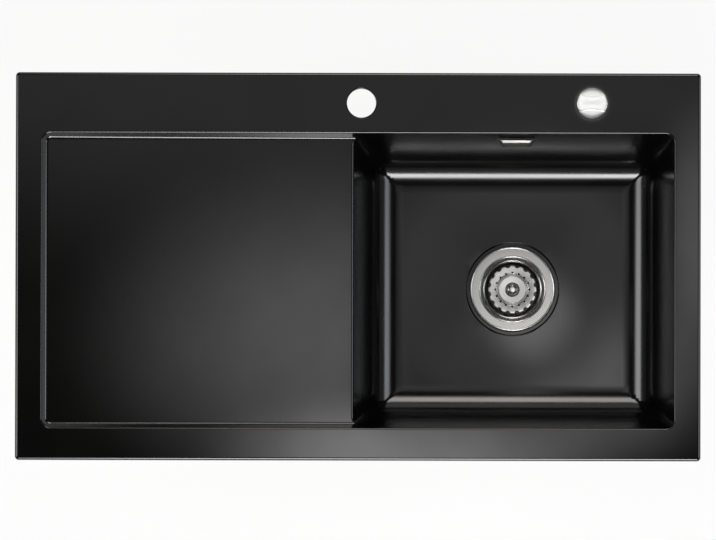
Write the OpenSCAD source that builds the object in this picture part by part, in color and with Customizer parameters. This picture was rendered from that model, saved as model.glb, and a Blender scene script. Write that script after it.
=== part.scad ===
// Inset kitchen sink in glazed ceramic: drainer on the left, bowl on the right,
// basket strainer lifted by a rotary control in the tap deck, and an overflow.
// Z = 0 is the worktop's surface, which the rim's ground seat rests on.

/* [Rim] */
// Width of the rim, left to right
sink_width = 900; // [870:5:1000]
// Depth of the rim, front to back
sink_depth = 510; // [490:5:600]
// Corner radius of the outline, seen from above
outline_radius = 5; // [4.5:0.5:12]
// Rounding of the rim's upper edges
edge_radius = 4; // [2:0.5:4]
// Height of the rim above the worktop
rim_height = 12; // [11:0.5:16]
// Width of the ground seat under the rim
seat_width = 12; // [8:1:12]
// Height of the seat below the rest of the rim's underside
seat_height = 2; // [1:0.5:3]

/* [Recess and drainer] */
// Width of the rim at the left and right of the recess
side_rim = 35; // [32:1:50]
// Width of the rim in front of the recess
front_rim = 43; // [36:1:60]
// Width of the tap deck behind the recess
tap_deck = 80; // [74:1:100]
// Corner radius of the recess
recess_radius = 12; // [9:1:16]
// Depth of the drainer at its far end
drainer_step = 8; // [7:0.5:10]
// Fall of the drainer towards the bowl
drainer_fall = 4; // [2:0.5:6]
// Width of the sloping step round the drainer
step_run = 7; // [5:0.5:8]
// Thickness of ceramic under the drainer's lowest point
drainer_wall = 12; // [8:0.5:16]
// How far the casting under the drainer reaches past the recess
tray_margin = 8; // [6:0.5:11]

/* [Bowl] */
// Width of the bowl at the top
bowl_width = 422; // [380:1:440]
// Depth of the bowl below the rim
bowl_depth = 190; // [170:1:210]
// How far each wall leans in from top to bottom
bowl_inset = 37; // [30:1:45]
// Radius between the walls and the floor
floor_fillet = 20; // [16:1:24]
// Thickness of the ceramic walls
ceramic_wall = 10; // [8:0.5:12]
// Fall of the floor towards the waste
floor_fall = 3; // [2:0.5:5]
// Rounding of the edge between the drainer and the bowl
divider_radius = 3; // [2:0.5:4]

/* [Deck holes] */
// Diameter of the tap hole
tap_hole_d = 38; // [35:0.5:40]
// Distance of the tap hole to the right of the centre line
tap_hole_offset = 4; // [0:1:60]
// Diameter of the hole for the rotary control
control_hole_d = 35; // [34.5:0.5:36]
// Distance of the rotary control from the right-hand edge
control_from_right = 143; // [120:1:150]
// Distance of both holes from the rear edge
hole_from_rear = 40; // [38:0.5:42]

/* [Waste fitting] */
// Diameter of the waste hole in the ceramic
waste_hole_d = 90; // [89:0.5:92]
// Diameter of the shallow recess round the waste
waste_recess_d = 122; // [118:1:130]
// Depth of that recess
waste_recess_depth = 3; // [2.5:0.5:4]
// Thickness of the ceramic at the waste hole
waste_boss_wall = 12; // [10:0.5:14]
// Diameter of the steel flange
flange_d = 112; // [110:1:114]
// Fall of the flange from its edge to its mouth
flange_dish = 1.6; // [1.4:0.1:1.8]
// Thickness of the steel sheet
steel_sheet = 1.2; // [0.8:0.1:1.4]
// Diameter where the flange bends down into the cup
mouth_d = 85; // [83:0.5:86]
// Height of the steep shoulder below the mouth
shoulder_height = 5; // [4:0.5:6]
// Inner diameter of the cup
cup_d = 71; // [69:0.5:72]
// Depth of the cup's seat below the flange
cup_depth = 30; // [27:0.5:33]
// Inner diameter of the seal's seat in the cup
seat_d = 45; // [44:0.5:46]
// Diameter of the opening at the bottom of the cup
opening_d = 41; // [39:0.5:42]

/* [Basket] */
// Diameter over the basket's teeth
basket_d = 64; // [60:0.5:66]
// Depth of the basket's rim below the flange
basket_drop = 8; // [7:0.5:9]
// Depth of the basket's dish
basket_dish = 7; // [6:0.5:8]
// Number of teeth, and of holes
basket_count = 16; // [12:1:18]
// Width of the notch between two teeth
notch_d = 7.4; // [5:0.1:8]
// Diameter of the drain holes
basket_hole_d = 2.8; // [2:0.1:3.4]
// Diameter of the ring of drain holes
basket_hole_ring_d = 45; // [44:0.5:46]
// Diameter of the basket's middle disc
basket_disc_d = 38.5; // [36:0.5:40]
// Thickness of the basket's sheet
basket_sheet = 1; // [0.8:0.1:1.2]
// Diameter of the pull knob
pull_d = 15.6; // [12:0.1:18]
// Height of the pull knob over the disc
pull_height = 12; // [10:0.5:14]
// Diameter of the basket's stem
stem_d = 6; // [5:0.5:7]
// Diameter of the rubber seal
seal_d = 47; // [46.5:0.5:50]
// Thickness of the rubber seal
seal_thickness = 2; // [1.5:0.5:3]

/* [Lift] */
// Lift of the basket in a quarter turn of the control
lift = 6; // [4:0.5:7]
// Diameter of the lifting pin
pin_d = 5; // [4:0.5:6]
// Smallest radius of the lifting cam
cam_base = 9; // [8:0.5:10]
// Thickness of the lifting cam
cam_thickness = 6; // [4:0.5:8]
// Diameter of the cam's shaft
shaft_d = 6; // [5:0.5:7]
// Radius of the crank, from its shaft to its pin
crank_radius = 12; // [11:0.5:13]
// Diameter of the cable's wire
wire_d = 1.5; // [1.2:0.1:1.8]

/* [Waste body] */
// Width of the clamping flange round the waste hole
body_flange_width = 9; // [7:0.5:11]
// Inner diameter of the body
body_bore_d = 89; // [86:0.5:90]
// Thickness of the body's wall
body_wall = 3; // [2.5:0.1:3.5]
// Height of the body above its cone
body_height = 38; // [36:0.5:44]
// Height of the cone
cone_height = 26; // [24:0.5:32]
// Outer diameter of the outlet, over its thread
outlet_d = 47.8; // [47:0.1:49]
// Inner diameter of the outlet
outlet_bore_d = 40; // [36:0.5:41]
// Length of the outlet
outlet_length = 26; // [22:1:40]

/* [Rotary control] */
// Diameter of the knob
knob_d = 40.4; // [39:0.1:44]
// Height of the knob's grip over the deck
knob_height = 15; // [13:0.5:18]
// Height of the knob's base over the deck
knob_base_height = 8; // [6.5:0.5:9]
// Width of the grip at its waist
grip_waist = 17.6; // [14:0.1:20]
// Width of the grip at its ends
grip_end = 21.6; // [20.5:0.1:24]
// Diameter of the knob's spindle
spindle_d = 8; // [7:0.5:9]
// Outer diameter of the threaded bushing
bushing_d = 32; // [30:0.5:33]
// Length of the bushing below the worktop
bushing_length = 20; // [18:1:26]

/* [Overflow] */
// Distance of the overflow to the right of the bowl's middle
overflow_offset = 4; // [0:0.5:8]
// Depth of the overflow's middle below the rim
overflow_drop = 36; // [34:0.5:44]
// Width of the slot through the ceramic
slot_width = 38; // [36:0.5:42]
// Height of the slot through the ceramic
slot_height = 12; // [11:0.5:13]
// Width of the hood's flat front
hood_front = 37; // [34:0.5:40]
// Width of the hood across its wings at the top
hood_width = 53; // [50:0.5:56]
// Height of the hood
hood_height = 25; // [22:0.5:28]
// Gap between the bowl's wall and the hood's front
hood_gap = 5; // [4.5:0.1:6]
// Outer diameter of the hose spigots
spigot_d = 22; // [20:0.5:22.5]

/* [Hidden] */
$fn = 48;

glaze = "#2c2c29";
steel = "#b9bab8";
chrome = "#d9dbde";
rubber = "#1f2022";
plastic = "#33363a";
pale_plastic = "#d8d9d6";

// Small working values
cut = 1;         // overshoot of a cutting solid
skin = 0.02;     // thickness of a slice that only anchors a hull
fit = 0.05;      // radial clearance of a running or threaded fit
rest_gap = 0.3;  // gap between two pieces that move on each other

// Plan of the rim, the recess and the bowl: [left, front, right, rear]
outline = [-sink_width / 2, -sink_depth / 2, sink_width / 2, sink_depth / 2];
recess = [
    outline[0] + side_rim, outline[1] + front_rim,
    outline[2] - side_rim, outline[3] - tap_deck
];
bowl = [recess[2] - bowl_width, recess[1], recess[2], recess[3]];
tap_x = tap_hole_offset;
control_x = outline[2] - control_from_right;
hole_y = outline[3] - hole_from_rear;
drain_x = (bowl[0] + bowl[2]) / 2;
drain_y = (bowl[1] + bowl[3]) / 2;

// Levels of the ceramic
wall_top_z = rim_height - edge_radius;
drainer_high_z = rim_height - drainer_step;
drainer_low_z = drainer_high_z - drainer_fall;
tray_z = drainer_low_z - drainer_wall;
floor_z = rim_height - bowl_depth;
drain_z = floor_z - floor_fall;
waste_seat_z = drain_z - waste_recess_depth;
boss_z = waste_seat_z - waste_boss_wall;

// Lean of the bowl's walls
wall_angle = atan(bowl_inset / (wall_top_z - floor_z));
function wall_inset(z) = (wall_top_z - z) * tan(wall_angle);
fillet_centre = wall_inset(floor_z + floor_fillet) + floor_fillet / cos(wall_angle);
outer_corner = recess_radius + ceramic_wall / cos(wall_angle);

// The flange and its cup, as radii and levels along the sheet's upper side
flange_r = flange_d / 2;
mouth_r = mouth_d / 2;
cup_r = cup_d / 2;
mouth_z = drain_z - flange_dish;
shoulder_z = mouth_z - shoulder_height;
cup_floor_z = drain_z - cup_depth;
cup_bend = 2.5;
seal_z = cup_floor_z + 0.7;
foot_height = 3.2;
foot_z = seal_z - foot_height;
bolt_head_height = 2.5;
bolt_top_z = foot_z - 0.7;
opening_z = bolt_top_z - bolt_head_height;
bridge_height = 1.5;
cup_profile = [
    [flange_r, drain_z],
    [mouth_r, mouth_z],
    [cup_r + 3, shoulder_z],
    [cup_r + 1.4, shoulder_z - 0.5],
    [cup_r, shoulder_z - 2],
    [cup_r, cup_floor_z + 1.5 + cup_bend],
    [cup_r - cup_bend, cup_floor_z + 1.5],
    [seat_d / 2, cup_floor_z],
    [opening_d / 2, opening_z]
];

// The basket
basket_rim_z = drain_z - basket_drop;
disc_z = basket_rim_z - basket_dish;
disc_r = basket_disc_d / 2;
pull_neck_r = 0.29 * pull_d;
pull_foot_r = pull_neck_r + 1.5;
basket_profile = [
    [basket_d / 2, basket_rim_z],
    [basket_hole_ring_d / 2 + 2.2, basket_rim_z - 2],
    [disc_r + 1.4, basket_rim_z - 5.2],
    [disc_r, basket_rim_z - 4.8],
    [disc_r - 1.8, basket_rim_z - 6.2],
    [pull_foot_r + 0.5, disc_z],
    [stem_d / 2 + fit, disc_z]
];
washer_thickness = 1;
washer_z = seal_z + seal_thickness;
washer_d = 28;
foot_d = 14;
spacer_d = 11;
stem_top_z = disc_z + 8;

// The lift below the cup
bolt_d = 10;
bolt_head_d = 17;
hub_top_z = opening_z - bridge_height - 1.5;
hub_height = 10;
hub_d = 18;
hub_z = hub_top_z - hub_height;
pin_top_z = foot_z - rest_gap;
pin_z = hub_z - lift - 4;
cam_z = pin_z - rest_gap - cam_base;
cam_steps = 18;

// The waste body
body_gasket_thickness = 2;
body_flange_d = waste_hole_d + 2 * body_flange_width;
body_top_z = boss_z - body_gasket_thickness;
body_flange_height = 4;
body_r = body_bore_d / 2 + body_wall;
cone_top_z = body_top_z - body_height;
cone_z = cone_top_z - cone_height;
outlet_z = cone_z - outlet_length;
inlet_z = body_top_z - body_flange_height - 15;
spigot_wall = 2.2;
hose_grip = 20;
hose_end = body_flange_d / 2 + 0.5;
inlet_reach = hose_end + hose_grip;
gland_x = body_r + 7.5;
gland_boss_d = 18;
gland_bore_d = 12.4;
gland_bore_depth = 9;
gland_nut_height = 4;

// The crank and its housing beside the body, along the shaft; the crank swings from
// 45 degrees before the top to 45 degrees past it, with its pin in the slider's slot
crank_plate = 3;
crank_x = gland_x + crank_plate + gland_nut_height + 1.5;
crank_thickness = 3;
crank_pin_r = 1.5;
crank_reach = crank_radius * sin(45);
crank_inner_x = gland_x + crank_plate;
slider_thickness = 3;
slider_x = crank_x + crank_thickness + 0.5;
slot_half = crank_pin_r + 0.7;
slot_low = crank_reach - crank_pin_r - rest_gap;
slot_high = crank_radius + crank_pin_r + rest_gap;
wire_x = slider_x + slider_thickness / 2;
wire_up = (slot_low + slot_high) / 2;
crank_cover_x = wire_x + 5;
crank_half = 22;
crank_below = 13;
crank_above = crank_radius + 8;
crank_wall = 2.5;
cable_z = cam_z + wire_up;
cable_x = drain_x + wire_x;

// The rotary control, down its axis
control_seal_height = 1;
bushing_flange_height = 2;
knob_z = rim_height + control_seal_height + bushing_flange_height + rest_gap;
deck_washer_height = 2;
deck_nut_height = 8;
bushing_z = -bushing_length;
collar_height = 9;
drum_radius = crank_reach * 4 / PI;
actuator_r = drum_radius + 12;
actuator_wall = 2.5;
actuator_z = bushing_z - 15;
drum_height = 8;
drum_z = bushing_z - rest_gap - drum_height;
spindle_z = drum_z - 3;
drum_level = drum_z + drum_height - 3;
drum_core = drum_radius - wire_d / 2 - 0.35;
ferrule_collar = 10;
ferrule_hexagon = 4;
cable_bore_d = 7;
crank_cable_boss = 10;
actuator_cable_boss = 6;
upper_cable_x = control_x + actuator_r + actuator_cable_boss + ferrule_hexagon + ferrule_collar;
upper_cable_y = hole_y + drum_radius;

// The overflow, on the rear wall
overflow_x = drain_x + overflow_offset;
overflow_z = rim_height - overflow_drop;
overflow_y = bowl[3] - wall_inset(overflow_z);
frame_sheet = 1;
wall_gap = 0.05;
frame_front = -wall_gap - frame_sheet;
overflow_gasket_thickness = 2;
overflow_back = ceramic_wall + overflow_gasket_thickness;
overflow_depth = 22;
screw_spread = slot_width - slot_height + 2;
spigot_y = overflow_y + overflow_back + overflow_depth / 2 + 2;
spigot_top_z = overflow_z - 14;
spigot_z = spigot_top_z - 30;
lower_hose_y = drain_y + hose_end;

// Routes of the hose and the cable: their ends follow the fittings, and the points
// between are [x, y, z] steps from the point that is named beside them. The hose drops
// behind the bowl, and bends at a corner that lies below its top and level with its end
hose_top = [overflow_x, spigot_y, spigot_z + 16];
hose_bottom = [drain_x, lower_hose_y, inlet_z];
hose_corner = [drain_x, spigot_y, inlet_z];
hose_drop = hose_top[2] - inlet_z;
hose_route = [
    hose_top, hose_top - [0, 0, 0.15 * hose_drop], hose_top - [0, 0, 0.3 * hose_drop],
    hose_top - [0, 0, 0.44 * hose_drop], hose_top - [1, 2, 0.58 * hose_drop],
    hose_top - [1, 10, 0.73 * hose_drop],
    hose_corner + [1, -35, 26], hose_corner + [1, -55, 9], hose_corner + [0, -79, 1],
    hose_bottom + [0, 54, 0], hose_bottom + [0, 27, 0], hose_bottom
];
cable_top = [upper_cable_x, upper_cable_y, drum_level];
lower_cable_y = drain_y + crank_half + crank_cable_boss + ferrule_hexagon + ferrule_collar;
cable_bottom = [cable_x, lower_cable_y, cable_z];
cable_route = [
    cable_top, cable_top + [10, 0, 0], cable_top + [22, -2, -6], cable_top + [31, -5, -20],
    cable_top + [36, -9, -42], cable_top + [36, -14, -70], cable_top + [32, -21, -100],
    cable_top + [25, -33, -129], cable_top + [13, -50, -156], cable_top + [-3, -72, -177],
    cable_bottom + [53, 94, 13], cable_bottom + [37, 66, 5], cable_bottom + [20, 40, 1],
    cable_bottom + [6, 18, 0], cable_bottom + [0, 8, 0], cable_bottom
];
cable_d = 5;
cable_sides = 8;
cable_steps = 4;
hose_bore_r = 12.3;
hose_valley_r = 13.2;
hose_crest_r = 15;
hose_sides = 8;
hose_ribs = 60;

// Plane shapes

module rounded_rect(box, r) {
    translate([box[0] + r, box[1]]) square([box[2] - box[0] - 2 * r, box[3] - box[1]]);
    translate([box[0], box[1] + r]) square([box[2] - box[0], box[3] - box[1] - 2 * r]);
    for (x = [box[0] + r, box[2] - r], y = [box[1] + r, box[3] - r])
        translate([x, y]) circle(r);
}

module centred_rect(width, height, r) {
    rounded_rect([-width / 2, -height / 2, width / 2, height / 2], r);
}

module slot_outline(width, height) {
    square([width - height, height], center = true);
    for (side = [-1, 1]) translate([side * (width - height) / 2, 0]) circle(d = height);
}

function grown(box, by) = [box[0] - by, box[1] - by, box[2] + by, box[3] + by];

// A sheet profile: the points along one side, and back along the other at thickness t
function unit(v) = v / norm(v);
function left_of(a, b) = unit([a[1] - b[1], b[0] - a[0]]);
function mitred(p, i, t) =
    let (
        last = len(p) - 1,
        before = left_of(p[max(i - 1, 0)], p[max(i, 1)]),
        after = left_of(p[min(i, last - 1)], p[min(i + 1, last)])
    )
    p[i] + t * (before + after) / (1 + before * after);
function sheet(p, t) = concat(p, [for (i = [len(p) - 1:-1:0]) mitred(p, i, t)]);

// Solid helpers

module tube(d_out, d_in, z0, z1) {
    rotate_extrude() translate([d_in / 2, z0]) square([(d_out - d_in) / 2, z1 - z0]);
}

// Carries a profile round a rounded rectangle: its x runs outwards, its y up
module sweep_round(box, r) {
    middle = [(box[0] + box[2]) / 2, (box[1] + box[3]) / 2];
    half = [(box[2] - box[0]) / 2, (box[3] - box[1]) / 2];
    for (side = [0:3]) {
        out = half[side % 2];
        along = half[(side + 1) % 2];
        translate(middle) rotate(side * 90) {
            translate([out, along - r, 0]) rotate([90, 0, 0]) linear_extrude(2 * (along - r)) children();
            translate([out - r, along - r, 0]) rotate_extrude(angle = 90) translate([r, 0]) children();
        }
    }
}

module pan_screw(d, head_d, head_height, length) {
    difference() {
        union() {
            translate([0, 0, -length]) cylinder(d = d, h = length + skin);
            cylinder(d1 = head_d, d2 = head_d * 0.8, h = head_height);
        }
        for (turn = [0, 90]) rotate(turn)
            translate([-head_d * 0.28, -0.4, head_height * 0.5]) cube([head_d * 0.56, 0.8, head_height]);
    }
}

// Places

module at_drain() translate([drain_x, drain_y, 0]) children();
module at_control() translate([control_x, hole_y, 0]) children();
// Local z runs out along the cam's shaft, and local x points down
module on_shaft() at_drain() translate([0, 0, cam_z]) rotate([0, 90, 0]) children();
// Local y runs out through the bowl's rear wall, and local z up along it
module at_overflow() translate([overflow_x, overflow_y, overflow_z]) rotate([-wall_angle, 0, 0]) children();

// Ceramic

module bowl_form(corner, top_radius, ball) {
    hull() {
        for (x = [bowl[0] + corner, bowl[2] - corner], y = [bowl[1] + corner, bowl[3] - corner])
            translate([x, y, wall_top_z]) cylinder(r = top_radius, h = skin, $fn = 32);
        for (x = [bowl[0] + fillet_centre, bowl[2] - fillet_centre],
             y = [bowl[1] + fillet_centre, bowl[3] - fillet_centre])
            translate([x, y, floor_z + floor_fillet]) sphere(r = ball, $fn = 32);
    }
}

module rim_plate() {
    difference() {
        linear_extrude(rim_height) rounded_rect(outline, outline_radius);
        translate([0, 0, -cut]) linear_extrude(cut + seat_height)
            rounded_rect(grown(outline, -seat_width), outline_radius);
        sweep_round(outline, outline_radius) difference() {
            translate([-edge_radius, rim_height - edge_radius]) square(edge_radius + cut);
            translate([-edge_radius, rim_height - edge_radius]) circle(edge_radius);
        }
    }
}

module under_tray() {
    tray = grown(recess, tray_margin);
    r = recess_radius + tray_margin;
    bevel = (seat_height - tray_z) / 2;
    hull() for (x = [tray[0] + r, tray[2] - r], y = [tray[1] + r, tray[3] - r]) {
        translate([x, y, seat_height]) cylinder(r = r, h = skin, $fn = 32);
        translate([x, y, tray_z]) cylinder(r = r - bevel, h = skin, $fn = 32);
    }
}

module drainer_hollow() {
    r = recess_radius;
    right = bowl[0] + 25;
    per_mm = drainer_fall / (bowl[0] - recess[0]);
    hull() {
        for (y = [recess[1] + r, recess[3] - r]) {
            translate([recess[0] + r, y, wall_top_z]) cylinder(r = r, h = skin, $fn = 32);
            translate([recess[0] + r, y, drainer_high_z]) cylinder(r = r - step_run, h = skin, $fn = 32);
        }
        translate([right, recess[1], wall_top_z]) cube([skin, recess[3] - recess[1], skin]);
        translate([right, recess[1] + step_run, drainer_high_z - per_mm * (right - recess[0])])
            cube([skin, recess[3] - recess[1] - 2 * step_run, skin]);
    }
}

// Rounds the edge where the drainer meets the bowl's left wall
module divider_rounding() {
    edge = [bowl[0] + wall_inset(drainer_low_z), drainer_low_z];
    setback = divider_radius / tan(45 + wall_angle / 2);
    centre = edge + [-setback, -divider_radius];
    on_wall = centre + divider_radius * [cos(wall_angle), sin(wall_angle)];
    margin = recess_radius;
    translate([0, recess[3] - margin, 0]) rotate([90, 0, 0])
        linear_extrude(recess[3] - recess[1] - 2 * margin) difference() {
            polygon([
                centre, on_wall, on_wall + [cut, 0],
                edge + [cut, cut / 2], [centre[0], edge[1] + cut / 2]
            ]);
            translate(centre) circle(divider_radius);
        }
}

module floor_hollow() {
    hull() {
        translate([bowl[0] + fillet_centre, bowl[1] + fillet_centre, floor_z])
            cube([bowl_width - 2 * fillet_centre, bowl[3] - bowl[1] - 2 * fillet_centre, cut]);
        translate([drain_x, drain_y, drain_z]) cylinder(d = waste_recess_d, h = skin, $fn = 32);
    }
}

module overflow_slot() {
    at_overflow() translate([0, -2 * cut, 0]) rotate([-90, 0, 0])
        linear_extrude(ceramic_wall + 4 * cut) slot_outline(slot_width, slot_height);
}

module ceramic_basin() {
    color(glaze) difference() {
        union() {
            rim_plate();
            under_tray();
            bowl_form(recess_radius, outer_corner, floor_fillet + ceramic_wall);
            at_drain() translate([0, 0, boss_z])
                cylinder(d1 = waste_recess_d + 4, d2 = waste_recess_d + 14, h = floor_z - boss_z);
        }
        translate([0, 0, wall_top_z]) linear_extrude(rim_height) rounded_rect(recess, recess_radius);
        sweep_round(recess, recess_radius) difference() {
            translate([-cut / 2, wall_top_z]) square([edge_radius + cut / 2, edge_radius + cut]);
            translate([edge_radius, wall_top_z]) circle(edge_radius);
        }
        drainer_hollow();
        divider_rounding();
        bowl_form(recess_radius, recess_radius, floor_fillet);
        floor_hollow();
        at_drain() {
            translate([0, 0, waste_seat_z]) cylinder(d = waste_recess_d, h = bowl_depth / 2);
            translate([0, 0, boss_z - cut]) cylinder(d = waste_hole_d, h = waste_boss_wall + 2 * cut);
        }
        translate([tap_x, hole_y, -cut]) cylinder(d = tap_hole_d, h = rim_height + 2 * cut);
        translate([control_x, hole_y, -cut]) cylinder(d = control_hole_d, h = rim_height + 2 * cut);
        overflow_slot();
    }
}

// Waste fitting

module strainer_flange() {
    arm_start = bolt_head_d / 2 + 0.2;
    arm_end = opening_d / 2 + 1;
    color(steel) at_drain() {
        rotate_extrude() polygon(sheet(cup_profile, steel_sheet));
        translate([0, 0, opening_z - bridge_height]) difference() {
            union() {
                cylinder(d = hub_d, h = bridge_height);
                for (turn = [45:90:315]) rotate(turn)
                    translate([arm_start, -2, 0]) cube([arm_end - arm_start, 4, bridge_height + 0.5]);
            }
            translate([0, 0, -cut]) cylinder(d = bolt_d + 2 * fit, h = bridge_height + 2 * cut);
        }
    }
}

module flange_gasket() {
    slope = flange_dish / (flange_r - mouth_r);
    under = drain_z - steel_sheet * sqrt(1 + slope * slope) - fit;
    inner = waste_hole_d / 2;
    outer = flange_r - 2;
    color(rubber) at_drain() rotate_extrude() polygon([
        [inner, waste_seat_z],
        [outer, waste_seat_z],
        [outer, under - slope * (flange_r - outer)],
        [inner, under - slope * (flange_r - inner)]
    ]);
}

module body_gasket() {
    color(rubber) at_drain() tube(body_flange_d, waste_hole_d, body_top_z, boss_z);
}

module clamp_bolt() {
    color(steel) at_drain() difference() {
        union() {
            translate([0, 0, opening_z]) cylinder(d = bolt_head_d, h = bolt_head_height, $fn = 6);
            translate([0, 0, hub_z - cut]) cylinder(d = bolt_d, h = opening_z - hub_z + cut + skin);
        }
        translate([0, 0, hub_z - 2 * cut]) cylinder(d = pin_d + 2 * fit, h = bolt_top_z - hub_z + 3 * cut);
    }
}

module waste_body() {
    bore_r = body_bore_d / 2;
    outlet_r = outlet_d / 2;
    spoke_z = hub_z + 2;
    spoke_height = hub_height - 4;
    color(plastic) at_drain() {
        difference() {
            union() {
                rotate_extrude() polygon([
                    [0, body_top_z], [body_flange_d / 2, body_top_z],
                    [body_flange_d / 2, body_top_z - body_flange_height],
                    [body_r, body_top_z - body_flange_height], [body_r, cone_top_z],
                    [outlet_r, cone_z], [outlet_r, outlet_z], [0, outlet_z]
                ]);
                translate([0, 0, inlet_z]) rotate([-90, 0, 0])
                    cylinder(d = spigot_d, h = inlet_reach);
                translate([0, 0, cam_z]) rotate([0, 90, 0])
                    cylinder(d = gland_boss_d, h = gland_x);
            }
            rotate_extrude() polygon([
                [0, body_top_z + cut], [bore_r, body_top_z + cut], [bore_r, cone_top_z],
                [outlet_bore_d / 2, cone_z], [outlet_bore_d / 2, outlet_z - cut], [0, outlet_z - cut]
            ]);
            translate([0, 0, inlet_z]) rotate([-90, 0, 0])
                cylinder(d = spigot_d - 2 * spigot_wall, h = inlet_reach + cut);
            translate([0, 0, cam_z]) rotate([0, 90, 0]) {
                cylinder(d = shaft_d + 2 * fit, h = gland_x + cut);
                translate([0, 0, gland_x - gland_bore_depth])
                    cylinder(d = gland_bore_d, h = gland_bore_depth + cut);
            }
        }
        difference() {
            union() {
                translate([0, 0, hub_z]) cylinder(d = hub_d, h = hub_height);
                for (turn = [45, 165, 285]) rotate(turn)
                    translate([hub_d / 2 - 2, -2, spoke_z])
                        cube([bore_r - hub_d / 2 + 3, 4, spoke_height]);
            }
            translate([0, 0, hub_z - cut]) cylinder(d = bolt_d + 2 * fit, h = hub_height + 2 * cut);
        }
    }
}

// Basket, its pull knob and its stem

module strainer_basket() {
    pitch = 360 / basket_count;
    color(steel) at_drain() difference() {
        rotate_extrude() polygon(sheet(basket_profile, basket_sheet));
        for (i = [0:basket_count - 1]) {
            rotate((i + 0.5) * pitch) translate([basket_d / 2 + 0.3, 0, disc_z])
                cylinder(d = notch_d, h = basket_dish + cut, $fn = 24);
            rotate(i * pitch) translate([basket_hole_ring_d / 2, 0, disc_z - basket_sheet])
                cylinder(d = basket_hole_d, h = basket_dish + 2 * cut, $fn = 16);
        }
    }
}

module basket_pull() {
    pull_r = pull_d / 2;
    head = pull_r * 0.55;
    dome_r = (pull_r * pull_r + head * head) / (2 * head);
    color(chrome) at_drain() translate([0, 0, disc_z]) difference() {
        union() {
            rotate_extrude() polygon([
                [0, 0], [pull_foot_r, 0], [pull_neck_r, 1.5],
                [pull_neck_r, pull_height - head - 3], [pull_r - 0.5, pull_height - head - 1],
                [pull_r, pull_height - head], [0, pull_height - head]
            ]);
            intersection() {
                translate([0, 0, pull_height - dome_r]) sphere(dome_r);
                translate([0, 0, pull_height - head - skin]) cylinder(r = pull_r, h = head + cut);
            }
        }
        translate([0, 0, -cut]) cylinder(d = stem_d + 2 * fit, h = stem_top_z - disc_z + cut + fit);
    }
}

module basket_stem() {
    color(steel) at_drain() {
        translate([0, 0, foot_z]) cylinder(d = foot_d, h = foot_height);
        translate([0, 0, foot_z + skin]) cylinder(d = stem_d, h = stem_top_z - foot_z - skin);
    }
}

module basket_seal() {
    color(rubber) at_drain() rotate_extrude() polygon([
        [stem_d / 2 + fit, seal_z], [seal_d / 2 - 1, seal_z],
        [seal_d / 2, seal_z + seal_thickness * 0.4], [seal_d / 2 - 1.5, washer_z],
        [stem_d / 2 + fit, washer_z]
    ]);
}

module basket_washer() {
    color(steel) at_drain() tube(washer_d, stem_d + 2 * fit, washer_z, washer_z + washer_thickness);
}

module basket_spacer() {
    color(pale_plastic) at_drain()
        tube(spacer_d, stem_d + 2 * fit, washer_z + washer_thickness, disc_z - basket_sheet - fit);
}

// Lift inside the waste body

module lift_pin() {
    tip = pin_d / 2;
    color(steel) at_drain() {
        translate([0, 0, pin_z + tip]) sphere(tip);
        translate([0, 0, pin_z + tip]) cylinder(d = pin_d, h = pin_top_z - pin_z - tip);
    }
}

// Radius of the cam under the pin after the given turn, in degrees
function cam_radius(turn) = cam_base + lift * min(max(turn / 90, 0), 1);

module lift_cam() {
    ramp = [
        for (i = [0:cam_steps])
            let (turn = i * 90 / cam_steps)
            cam_radius(turn) * [-cos(turn), -sin(turn)]
    ];
    dwell = [for (turn = [96, 102, 108]) (cam_base + lift) * [-cos(turn), -sin(turn)]];
    heel = [for (turn = [135:15:345]) cam_base * [-cos(turn), -sin(turn)]];
    color(pale_plastic) on_shaft() difference() {
        translate([0, 0, -cam_thickness / 2])
            linear_extrude(cam_thickness) polygon(concat(ramp, dwell, heel));
        translate([0, 0, -cam_thickness]) cylinder(d = shaft_d + 2 * fit, h = 2 * cam_thickness);
    }
}

module cam_shaft() {
    color(steel) on_shaft() translate([0, 0, -cam_thickness / 2 - 2])
        cylinder(d = shaft_d, h = crank_x + crank_thickness + 1 + cam_thickness / 2 + 2);
}

module crank_arm() {
    color(steel) on_shaft() translate([0, 0, crank_x]) rotate(-135) difference() {
        union() {
            cylinder(d = shaft_d + 7, h = crank_thickness);
            translate([0, -3.5, 0]) cube([crank_radius, 7, crank_thickness]);
            translate([crank_radius, 0, 0]) cylinder(d = 7, h = crank_thickness);
            translate([crank_radius, 0, 0])
                cylinder(r = crank_pin_r, h = slider_x + slider_thickness - crank_x);
        }
        translate([0, 0, -cut]) cylinder(d = shaft_d + 2 * fit, h = crank_thickness + 2 * cut);
    }
}

// Block that the crank's pin moves to and fro, drawn where it is at rest
module crank_slider() {
    border = 1.8;
    color(pale_plastic) on_shaft() translate([0, -crank_reach, slider_x]) difference() {
        linear_extrude(slider_thickness) difference() {
            translate([-slot_high - border, -slot_half - border])
                square([slot_high - slot_low + 2 * border, 2 * (slot_half + border)]);
            translate([-slot_high, -slot_half]) square([slot_high - slot_low, 2 * slot_half]);
        }
        translate([-wire_up, slot_half + 0.3, slider_thickness / 2]) rotate([-90, 0, 0])
            cylinder(d = wire_d + 2 * fit, h = 2 * border);
    }
}

module lower_wire() {
    start = slot_half + 0.3 - crank_reach;
    color(steel) on_shaft() translate([-wire_up, start, wire_x]) rotate([-90, 0, 0])
        cylinder(d = wire_d, h = crank_half + 4 - start);
}

module shaft_seal() {
    color(rubber) on_shaft() tube(gland_bore_d - 2 * fit, shaft_d + 2 * fit,
        gland_x - gland_bore_depth, gland_x - gland_bore_depth + 2.5);
}

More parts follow.
